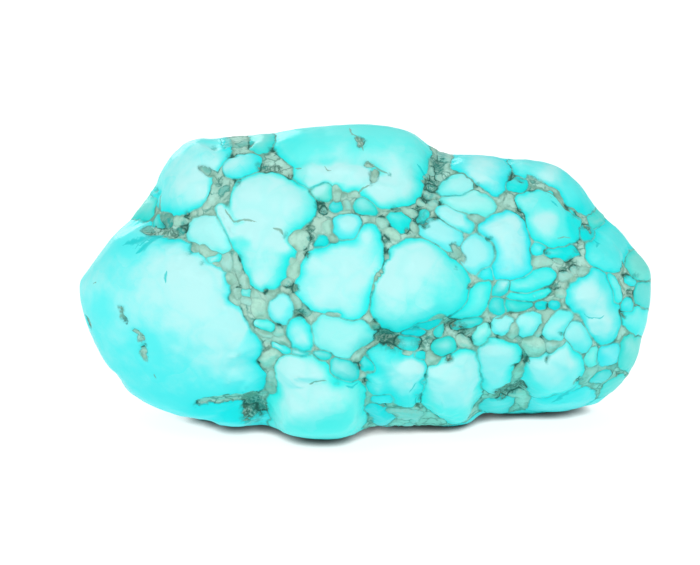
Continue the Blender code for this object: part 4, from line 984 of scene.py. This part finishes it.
finish = {
    "sky": (0.115, 0.915, 0.895),  # colours of the nodules, then of the pebbles
    "deep": (0.015, 0.83, 0.81),
    "light": (0.25, 0.93, 0.90),
    "muted": (0.15, 0.81, 0.75),
    "pale": (0.46, 0.82, 0.71),
    "teal": (0.05, 0.42, 0.37),
    "redSpread": 0.3,  # how far a nodule's red may be off, as a share
    "paleSpread": 0.12,
    "tintSpread": 0.03,  # and its green and its blue
    "matrixKinds": ("pale", "teal"),  # pebbles of the matrix, with no brown line round them
    "frontFilling": ("pale", "pale", "pale", "teal", "muted"),
    "backFilling": ("sky", "sky", "muted", "pale", "pale", "deep"),
    "edge": (0.10, 0.965, 0.97),  # what a nodule's colour is multiplied by at its edge, partly its own deeper colour and partly painted shade where its dome turns away
    "lightEdge": (0.42, 0.97, 0.97),
    "pebbleEdge": (0.80, 0.90, 0.88),  # the same for the pale ones
    "edgeWidth": (0.45, 1.35),  # mm, narrowest and widest
    "milkAndHighlight": (0.505, 0.945, 0.935),  # milky middles, partly painted highlight on the domes
    "litSideCloud": 0.36,  # painted light: milkier on a nodule's lit side than on its shaded side
    "rimShade": 0.75,  # painted shade: less milky, deeper colour near the rim where the surface turns away
    "facet": 4.6,  # mm, of the milky patches inside a nodule
    "underside": (0.30, 0.88, 0.90),  # painted shade: what colours are multiplied by where they face down
    "stainTint": (0.05, 0.42, 0.38),
    "matrixPale": (0.46, 0.82, 0.71),
    "matrixMiddle": (0.36, 0.66, 0.55),
    "matrixBeige": (0.46, 0.72, 0.60),
    "matrixTeal": (0.07, 0.46, 0.40),
    "matrixBrown": (0.19, 0.41, 0.30),
    "matrixDark": (0.04, 0.14, 0.10),
    "matrixSea": (0.015, 0.24, 0.20),
    "matrixCell": 1.5,  # mm
    "webCell": 0.6,
    "seamPale": (0.21, 0.46, 0.35),
    "seamDark": (0.03, 0.14, 0.11),
    "seamBlue": (0.01, 0.62, 0.62),  # where two nodules meet with no matrix between
    "seamHalf": (0.06, 0.15),  # mm, thinnest and widest
    "crackBlue": (0.01, 0.66, 0.67),
    "crackStained": (0.21, 0.42, 0.33),
    "crackShow": 0.85,
    "roughness": (0.32, 0.55),  # nodules, matrix
    "roughSway": 0.12,
    "specular": 0.06,
    "ior": 1.6,
    "bump": 0.1,  # mm
    "bumpStrength": 0.7,
    "bumpFaint": 0.12,  # share of it that is the same all over,
    "bumpSeam": -0.8,  # and that the seams are cut in

    # span and push of the noise that bends a pattern
    "facetBend": (3.0, 4.0),
    "matrixBend": (0.6, 0.6),

    # noises: span in mm, detail and roughness
    "frayNoise": (0.9, 5.0, 0.65),  # frays a nodule's outline,
    "fray": 0.36,  # by so many mm
    "gritNoise": (0.45, 3.0, 0.6),  # of the ragged stains
    "patchNoise": (1.4, 3.0, 0.6),  # of the web and the joints
    "hollowNoise": (2.8, 2.0, 0.5),  # of the hollows away from the front
    "seamNoise": (2.2, 2.0, 0.5),  # of the seams' width
    "beigeNoise": (3.5, 2.0, 0.5),  # of the beige parts
    "speckNoise": (0.32, 3.0, 0.6),
    "broadNoise": (5.0, 2.0, 0.5),  # of the milky middles, and their finer one
    "fineNoise": (2.1, 5.0, 0.58),
    "bumpNoise": (0.8, 3.0, 0.5),

    # changes: the values that one runs between, then what it gives at the first and at the second
    "hollows": (0.54, 0.68, 0.0, 1.1),
    "hollowsWithin": (0.1, 0.4, 1.0, 0.0),  # mm inside a nodule
    "stainGrit": (0.3, 0.66, 0.6, 1.2),
    "stoneStain": (0.25, 0.85, 0.0, 0.7),
    "blueness": (0.36, 0.46),  # green less red: a pale pebble, a blue nodule
    "pebbleMottle": (0.36, 0.6, 0.6, 0.0),
    "outline": (-0.1, 0.1),  # mm, from matrix to nodule
    "shoreOuter": (-0.4, 0.0),  # mm, of the brown line along the nodules
    "shoreInner": (0.15, 0.5, 1.0, 0.0),
    "shorePatches": (0.38, 0.66, 0.05, 0.7),
    "seamWidth": (0.35, 0.65),
    "seamEase": (0.0, 1.4, 1.0, 0.0),  # of its half width
    "seamPatches": (0.36, 0.64, 0.2, 0.85),
    "seamGrit": (0.3, 0.6, 0.6, 1.0),
    "seamBlueness": (0.0, 1.0, 0.45, 1.0),
    "seamStain": (0.2, 0.6),
    "darkPatches": (0.4, 0.58),
    "darkStain": (0.25, 0.7),
    "blueRunner": (0.05, 0.35),  # mm that the nodules run into each other
    "bluePatches": (0.4, 0.6, 0.5, 1.0),
    "crackGrit": (0.3, 0.6, 0.6, 1.3),
    "crackEase": (0.2, 1.3, 1.0, 0.0),  # of its half width
    "crackLeast": (0.01, 0.05),  # mm, half width where one ends
    "shadeFacingDown": (-0.85, 0.0, 0.9, 0.0),
    "roughOutline": (-0.05, 0.15),  # mm
    "gritJoint": (0.0, 0.25),
    "broadEdge": (0.3, 0.7),
    "bloomEdge": (0.35, 1.0, 0.0, 0.8),  # milky up to the edge
    "bloomLack": (-1.3, -0.25),
    "lightness": (0.16, 0.22),  # red of a light nodule
    "backCloud": (0.3, 0.7, 0.05, 0.75),
    "cloudReach": (0.35, 1.0, 1.25, 0.4),  # mm inside where the milky middle starts
    "cloudShare": (0.0, 1.1),
    "facetEdge": (0.0, 0.14, 0.85, 1.0),
    "milkyKind": (0.70, 0.82, 0.2, 1.0),  # green of the duller nodules and of the clear ones
    "palePatches": (0.35, 0.6),
    "tealGrain": (0.86, 0.9, 0.0, 0.7),
    "beige": (0.45, 0.62, 0.0, 0.85),
    "specks": (0.36, 0.6, 0.35, 0.0),
    "joint": (0.0, 0.1, 1.0, 0.0),
    "jointPatches": (0.4, 0.6, 0.1, 0.7),
    "web": (0.0, 0.2, 0.85, 0.0),
    "webPatches": (0.48, 0.72, 0.0, 0.55),
    "webStain": (0.3, 0.8),
    "mottle": (0.56, 0.74, 0.0, 0.4),
    "matrixStain": (0.3, 1.1, 0.0, 0.95),
    "stainSpecks": (0.42, 0.6, 1.0, 0.4),
    "seaPatches": (0.42, 0.6),

    # straight lines: what a value is multiplied by, and what is added
    "stainDepth": (-1.2, 1.05),  # mm that a stain lets the nodule reach
    "crackSway": (0.12, -0.06),  # mm
    "fineCloud": (1.1, -0.3),
    "facetCloud": (0.25, -0.12),
    "lightCloud": (-0.45, 1.0),  # a light nodule has less of it
}


class Nodes:  # builds a material's nodes, from numbers, colours and sockets
    def __init__(self, tree):
        self.tree = tree

    def add(self, kind, **settings):
        node = self.tree.nodes.new(kind)
        for name, value in settings.items():
            setattr(node, name, value)
        return node

    def feed(self, socket, value):
        if isinstance(value, bpy.types.NodeSocket):
            self.tree.links.new(value, socket)
        elif isinstance(value, tuple) and socket.type == "RGBA":
            socket.default_value = (*value, 1.0)
        else:
            socket.default_value = value

    def math(self, operation, first, second=0.0, third=0.0):
        node = self.add("ShaderNodeMath", operation=operation)
        for socket, value in zip(node.inputs, (first, second, third)):
            self.feed(socket, value)
        return node.outputs[0]

    def chain(self, operation, first, *others):
        for other in others:
            first = self.math(operation, first, other)
        return first

    def times(self, *values):
        return self.chain("MULTIPLY", *values)

    def plus(self, *values):
        return self.chain("ADD", *values)

    def least(self, *values):
        return self.chain("MINIMUM", *values)

    def most(self, *values):
        return self.chain("MAXIMUM", *values)

    def line(self, value, steep, start):
        return self.math("MULTIPLY_ADD", value, steep, start)

    def mix(self, share, first, second, blend="MIX"):
        node = self.add("ShaderNodeMix", data_type="RGBA", blend_type=blend)
        self.feed(node.inputs["Factor"], share)
        self.feed(node.inputs[6], first)
        self.feed(node.inputs[7], second)
        return node.outputs[2]

    def ramp(self, value, low, high, start=0.0, end=1.0):  # eases from start, at low, to end
        node = self.add("ShaderNodeMapRange", interpolation_type="SMOOTHSTEP")
        for socket, given in zip(node.inputs, (value, low, high, start, end)):
            self.feed(socket, given)
        return node.outputs[0]

    def field(self, name, output="Vector"):
        return self.add("ShaderNodeAttribute", attribute_name=name).outputs[output]

    def parts(self, vector):
        node = self.add("ShaderNodeSeparateXYZ")
        self.feed(node.inputs[0], vector)
        return node.outputs[:]

    def cloudiness(self, place, span, detail=2.0, rough=0.5):  # noise from 0 to 1, grey and colour
        node = self.add("ShaderNodeTexNoise")
        self.feed(node.inputs["Vector"], place)
        self.feed(node.inputs["Scale"], 1.0 / span)
        self.feed(node.inputs["Detail"], detail)
        self.feed(node.inputs["Roughness"], rough)
        return node.outputs

    def bend(self, place, span, push):  # the same place moved about by noise, in mm
        node = self.add("ShaderNodeVectorMath", operation="MULTIPLY_ADD")
        self.feed(node.inputs[0], self.cloudiness(place, span)[1])
        node.inputs[1].default_value = (push, push, push)
        self.feed(node.inputs[2], place)
        return node.outputs[0]

    def cells(self, place, span, feature):
        node = self.add("ShaderNodeTexVoronoi", feature=feature)
        self.feed(node.inputs["Vector"], place)
        self.feed(node.inputs["Scale"], 1.0 / span)
        return node.outputs


def turquoiseMaterial():
    material = bpy.data.materials.new("turquoise")
    material.use_nodes = True
    tree = material.node_tree
    nodes = Nodes(tree)
    shader = tree.nodes["Principled BSDF"]

    coordinates = nodes.add("ShaderNodeTexCoord").outputs["Object"]
    place = nodes.add("ShaderNodeMapping")  # in mm
    place.inputs["Scale"].default_value = (1 / mm, 1 / mm, 1 / mm)
    nodes.feed(place.inputs["Vector"], coordinates)
    place = place.outputs[0]

    most, runner, tone = topNodule(nodes)
    pool, crackOffset, crackHalf = nodes.parts(nodes.field("marks"))
    pits, bloomAndShade, behind = nodes.parts(nodes.field("spots"))
    gritty = nodes.cloudiness(place, *finish["gritNoise"])[0]
    patchy = nodes.cloudiness(place, *finish["seamNoise"])[0]
    patches = nodes.parts(nodes.cloudiness(place, *finish["patchNoise"])[1])
    red, green = nodes.parts(tone)[:2]
    blueness = nodes.ramp(nodes.math("SUBTRACT", green, red), *finish["blueness"])

    wander = nodes.cloudiness(place, *finish["frayNoise"])[0]
    wander = nodes.line(wander, finish["fray"], -finish["fray"] / 2)
    between = nodes.times(nodes.math("SUBTRACT", most, runner), 0.5)
    within = nodes.least(nodes.plus(most, wander), between)
    poolEdge = nodes.math("SUBTRACT", nodes.times(pool, -1.0), nodes.times(wander, 2.0))
    border = nodes.least(within, poolEdge)
    hollows = nodes.ramp(nodes.cloudiness(place, *finish["hollowNoise"])[0], *finish["hollows"])
    hollows = nodes.times(hollows, behind, nodes.ramp(within, *finish["hollowsWithin"]))
    stain = nodes.times(nodes.plus(pits, hollows), nodes.ramp(gritty, *finish["stainGrit"]))
    inside = nodes.least(border, nodes.line(stain, *finish["stainDepth"]))
    isStone = nodes.ramp(inside, *finish["outline"])

    stone = noduleColour(nodes, place, within, tone, blueness, bloomAndShade, behind)
    stone = nodes.mix(nodes.ramp(stain, *finish["stoneStain"]), stone, finish["stainTint"])
    mottled = nodes.ramp(gritty, *finish["pebbleMottle"])
    mottled = nodes.times(nodes.math("SUBTRACT", 1.0, blueness), mottled)
    stone = nodes.mix(mottled, stone, finish["matrixMiddle"])
    matrix, cellEdge = matrixColour(nodes, place, patches, stain)
    colour = nodes.mix(isStone, matrix, stone)
    loose = nodes.math("SUBTRACT", 1.0, nodes.times(isStone, blueness))  # matrix and its pebbles
    halo = nodes.times(shoreLine(nodes, wander, patches), loose)
    colour = nodes.mix(halo, colour, finish["matrixBrown"])
    seam, seamShare, line = seamLook(nodes, border, runner, blueness, stain, gritty, patchy, patches)
    colour = nodes.mix(seamShare, colour, seam)
    crackColour, crackShare = crackLook(nodes, crackOffset, crackHalf, gritty)
    colour = nodes.mix(crackShare, colour, crackColour)
    # painted shade: colours deeper where the surface faces down, as if less light reached the
    # underside
    upwards = nodes.parts(nodes.add("ShaderNodeNewGeometry").outputs["Normal"])[2]
    shadedBelow = nodes.mix(1.0, colour, finish["underside"], "MULTIPLY")
    colour = nodes.mix(nodes.ramp(upwards, *finish["shadeFacingDown"]), colour, shadedBelow)
    nodes.feed(shader.inputs["Base Color"], colour)

    smooth, rough = finish["roughness"]
    sway = nodes.line(patchy, finish["roughSway"], -finish["roughSway"] / 2)
    roughness = nodes.plus(nodes.ramp(inside, *finish["roughOutline"], rough, smooth), sway)
    nodes.feed(shader.inputs["Roughness"], roughness)
    shader.inputs["IOR"].default_value = finish["ior"]
    shader.inputs["Specular IOR Level"].default_value = finish["specular"]

    grit = nodes.ramp(cellEdge, *finish["gritJoint"])
    grit = nodes.times(nodes.math("SUBTRACT", 1.0, isStone), grit)
    faint = nodes.times(nodes.cloudiness(place, *finish["bumpNoise"])[0], finish["bumpFaint"])
    bump = nodes.add("ShaderNodeBump")
    bump.inputs["Distance"].default_value = finish["bump"] * mm
    bump.inputs["Strength"].default_value = finish["bumpStrength"]
    nodes.feed(bump.inputs["Height"], nodes.plus(grit, faint, nodes.times(line, finish["bumpSeam"])))
    nodes.feed(shader.inputs["Normal"], bump.outputs[0])
    return material


def topNodule(nodes):  # the deepest of the families' fields, the second, and the first's colour
    fields = []
    for third in range(nugget["families"] // 3):
        fields += nodes.parts(nodes.field(f"near{third}"))
    most, runner, tone = fields[0], nugget["farOff"], nodes.field("tone0")
    for family, field in enumerate(fields[1:], 1):
        runner = nodes.most(runner, nodes.least(most, field))
        deeper = nodes.math("GREATER_THAN", field, most)
        tone = nodes.mix(deeper, tone, nodes.field(f"tone{family}"))
        most = nodes.most(most, field)
    return most, runner, tone


def noduleColour(nodes, place, inside, tone, blueness, bloomAndShade, behind):  # deep edges, milky middles: partly painted shade and painted highlight on the rounded nodules
    red, green = nodes.parts(tone)[:2]
    lightness = nodes.ramp(red, *finish["lightness"])
    broad = nodes.cloudiness(place, *finish["broadNoise"])[0]
    fine = nodes.cloudiness(place, *finish["fineNoise"])[0]
    edgeWidth = nodes.ramp(broad, *finish["broadEdge"], *finish["edgeWidth"])
    share = nodes.ramp(nodes.math("DIVIDE", inside, edgeWidth), 0.0, 1.0)
    share = nodes.most(share, nodes.ramp(bloomAndShade, *finish["bloomEdge"]))
    share = nodes.least(share, nodes.ramp(bloomAndShade, *finish["bloomLack"]))
    blueEdge = nodes.mix(lightness, finish["edge"], finish["lightEdge"])
    edge = nodes.mix(blueness, finish["pebbleEdge"], blueEdge)
    edged = nodes.mix(1.0, tone, edge, "MULTIPLY")
    colour = nodes.mix(share, edged, tone)
    bent = nodes.bend(place, *finish["facetBend"])
    facet = nodes.cells(bent, finish["facet"], "DISTANCE_TO_EDGE")["Distance"]
    which = nodes.parts(nodes.cells(bent, finish["facet"], "F1")["Color"])[0]
    milkAndHighlight = nodes.plus(
        bloomAndShade,
        nodes.times(behind, nodes.ramp(broad, *finish["backCloud"])),
        nodes.line(fine, *finish["fineCloud"]),
        nodes.line(which, *finish["facetCloud"]),
    )
    reach = nodes.ramp(bloomAndShade, *finish["cloudReach"])
    milky = nodes.times(
        nodes.ramp(green, *finish["milkyKind"]),
        blueness,
        nodes.line(lightness, *finish["lightCloud"]),
    )
    milkAndHighlight = nodes.times(
        nodes.ramp(milkAndHighlight, *finish["cloudShare"]),
        nodes.ramp(inside, 0.0, reach),
        nodes.ramp(facet, *finish["facetEdge"]),
        milky,
    )
    return nodes.mix(milkAndHighlight, colour, finish["milkAndHighlight"])


def shoreLine(nodes, wander, patches):  # a brown line in the matrix, along the nodules
    shore = nodes.plus(nodes.field("shore", "Fac"), wander)
    return nodes.times(
        nodes.ramp(shore, *finish["shoreOuter"]),
        nodes.ramp(shore, *finish["shoreInner"]),
        nodes.ramp(patches[1], *finish["shorePatches"]),
    )


def seamLook(nodes, border, runner, blueness, stain, gritty, patchy, patches):
    # the seams' colour, how far they show, and their line
    half = nodes.ramp(patchy, *finish["seamWidth"], *finish["seamHalf"])
    away = nodes.math("ABSOLUTE", border)
    line = nodes.ramp(nodes.math("DIVIDE", away, half), *finish["seamEase"])
    strength = nodes.times(
        nodes.ramp(patches[0], *finish["seamPatches"]),
        nodes.ramp(gritty, *finish["seamGrit"]),
        nodes.ramp(blueness, *finish["seamBlueness"]),
    )
    strength = nodes.most(strength, nodes.ramp(stain, *finish["seamStain"]))
    darkness = nodes.ramp(patches[2], *finish["darkPatches"])
    darkness = nodes.most(darkness, nodes.ramp(stain, *finish["darkStain"]))
    colour = nodes.mix(darkness, finish["seamPale"], finish["seamDark"])
    blue = nodes.times(
        nodes.ramp(runner, *finish["blueRunner"]),
        blueness,
        nodes.ramp(patches[1], *finish["bluePatches"]),
    )
    return nodes.mix(blue, colour, finish["seamBlue"]), nodes.times(line, strength), line


def crackLook(nodes, offset, half, gritty):  # the cracks' colour, and how far they show
    width = nodes.times(nodes.math("ABSOLUTE", half), nodes.ramp(gritty, *finish["crackGrit"]))
    away = nodes.math("ABSOLUTE", nodes.plus(offset, nodes.line(gritty, *finish["crackSway"])))
    share = nodes.times(
        nodes.ramp(nodes.math("DIVIDE", away, width), *finish["crackEase"]),
        nodes.ramp(width, *finish["crackLeast"]),
        finish["crackShow"],
    )
    stained = nodes.math("LESS_THAN", half, 0.0)
    return nodes.mix(stained, finish["crackBlue"], finish["crackStained"]), share


def matrixColour(nodes, place, patches, stain):  # angular grains, with dark joints and a dark web
    bent = nodes.bend(place, *finish["matrixBend"])
    grain = nodes.parts(nodes.cells(bent, finish["matrixCell"], "F1")["Color"])
    edge = nodes.cells(bent, finish["matrixCell"], "DISTANCE_TO_EDGE")["Distance"]
    web = nodes.cells(bent, finish["webCell"], "DISTANCE_TO_EDGE")["Distance"]
    broad = nodes.parts(nodes.cloudiness(place, *finish["beigeNoise"])[1])
    speck = nodes.cloudiness(place, *finish["speckNoise"])[0]
    pale = nodes.ramp(patches[2], *finish["palePatches"])
    colour = nodes.mix(pale, finish["matrixMiddle"], finish["matrixPale"])
    colour = nodes.mix(nodes.ramp(grain[1], *finish["tealGrain"]), colour, finish["matrixTeal"])
    colour = nodes.mix(nodes.ramp(broad[0], *finish["beige"]), colour, finish["matrixBeige"])
    colour = nodes.mix(nodes.ramp(speck, *finish["specks"]), colour, finish["matrixMiddle"])
    joint = nodes.ramp(patches[0], *finish["jointPatches"])
    joint = nodes.times(nodes.ramp(edge, *finish["joint"]), joint)
    webby = nodes.plus(stain, nodes.ramp(patches[0], *finish["webPatches"]))
    webLine = nodes.times(nodes.ramp(web, *finish["web"]), nodes.ramp(webby, *finish["webStain"]))
    mottle = nodes.ramp(patches[1], *finish["mottle"])
    stained = nodes.ramp(speck, *finish["stainSpecks"])
    stained = nodes.times(nodes.ramp(stain, *finish["matrixStain"]), stained)
    dark = nodes.most(joint, webLine, mottle, stained)
    deepest = nodes.ramp(broad[1], *finish["seaPatches"])
    deepest = nodes.mix(deepest, finish["matrixDark"], finish["matrixSea"])
    return nodes.mix(dark, colour, deepest), edge


studio = {
    "lens": 600,  # mm
    "sensor": 36,
    "frameWidth": 63.64,  # mm that the view is wide at the stone
    "aim": (-1.36, 14.32),  # across and up of the frame's middle
    "viewEnd": 20.0,  # m
    "skyTop": 0.77,
    "skyHorizon": 0.44,
    "skyRise": 0.8,  # height, as a share, at which it is as bright as the top
    "floorWidth": 4.0,  # m
    "floor": (0.25, 0.25, 0.25),
    "floorGlow": 0.90,  # a light table, so that only the contact shadow stays
    "floorRoughness": 0.9,
    "floorSpecular": 0.1,
    "contact": 1.2,  # mm, how far from the stone the table is dimmed: the painted contact shadow
    "contactEase": 0.6,  # openness at which it glows fully again
    "lights": {  # place and size in m, power in watts
        "key": ((-0.16, -0.30, 0.42), 0.22, 0.66),
        "fill": ((0.40, -0.25, 0.25), 0.30, 0.22),
        "back": ((-0.12, 0.42, 0.11), 0.2, 0.28),
    },
    "lit": (0, 0, 0.012),  # m, the point that they face
}


def buildStudio():
    bm = bmesh.new()
    bmesh.ops.create_grid(bm, x_segments=2, y_segments=2, size=studio["floorWidth"] / 2)
    mesh = bpy.data.meshes.new("floor")
    bm.to_mesh(mesh)
    bm.free()
    mesh.materials.append(floorMaterial())
    floor = bpy.data.objects.new("floor", mesh)
    bpy.context.scene.collection.objects.link(floor)
    world = bpy.data.worlds.new("studio")
    world.use_nodes = True
    nodes = Nodes(world.node_tree)
    upwards = nodes.parts(nodes.add("ShaderNodeTexCoord").outputs["Generated"])[2]
    glow = nodes.ramp(upwards, 0.0, studio["skyRise"], studio["skyHorizon"], studio["skyTop"])
    background = world.node_tree.nodes["Background"]
    nodes.feed(background.inputs["Strength"], glow)
    background.inputs["Color"].default_value = (1.0, 1.0, 1.0, 1.0)
    bpy.context.scene.world = world
    for name, (place, size, power) in studio["lights"].items():
        addSoftbox(name, place, size, power)
    print("studio: floor and lights")


def floorMaterial():
    material = bpy.data.materials.new("paleFloor")
    material.use_nodes = True
    shader = material.node_tree.nodes["Principled BSDF"]
    shader.inputs["Base Color"].default_value = (*studio["floor"], 1.0)
    shader.inputs["Roughness"].default_value = studio["floorRoughness"]
    shader.inputs["Specular IOR Level"].default_value = studio["floorSpecular"]
    shader.inputs["Emission Color"].default_value = (1.0, 1.0, 1.0, 1.0)
    nodes = Nodes(material.node_tree)
    # painted contact shadow: the glow fades where the occlusion node finds the stone close
    openness = nodes.add("ShaderNodeAmbientOcclusion")
    openness.inputs["Distance"].default_value = studio["contact"] * mm
    glow = nodes.ramp(openness.outputs["AO"], 0.0, studio["contactEase"], 0.0, studio["floorGlow"])
    nodes.feed(shader.inputs["Emission Strength"], glow)
    return material


def addSoftbox(name, place, size, power):
    light = bpy.data.lights.new(name, "AREA")
    light.shape = "DISK"
    light.size = size
    light.energy = power
    softbox = bpy.data.objects.new(name, light)
    softbox.location = place
    facing = Vector(studio["lit"]) - Vector(place)
    softbox.rotation_euler = facing.to_track_quat("-Z", "Y").to_euler()
    bpy.context.scene.collection.objects.link(softbox)


def addCamera():
    tilt = math.radians(nugget["faceTilt"])
    aim = toWorld(np.array([[*studio["aim"], 0.0]]))[0] * mm
    away = studio["frameWidth"] * mm * studio["lens"] / studio["sensor"]
    lens = bpy.data.cameras.new("camera")
    lens.lens = studio["lens"]
    lens.sensor_width = studio["sensor"]
    lens.clip_end = studio["viewEnd"]
    camera = bpy.data.objects.new("camera", lens)
    camera.location = aim + away * np.array([0.0, -math.cos(tilt), math.sin(tilt)])
    camera.rotation_euler = (math.pi / 2 - tilt, 0, 0)
    bpy.context.scene.collection.objects.link(camera)
    bpy.context.scene.camera = camera
    bpy.context.scene.view_settings.view_transform = "Standard"
    print("studio: camera", round(away, 3), "m away")


piece = buildNugget()
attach(piece, "root")
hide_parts("turquoise_nugget")
buildStudio()
addCamera()
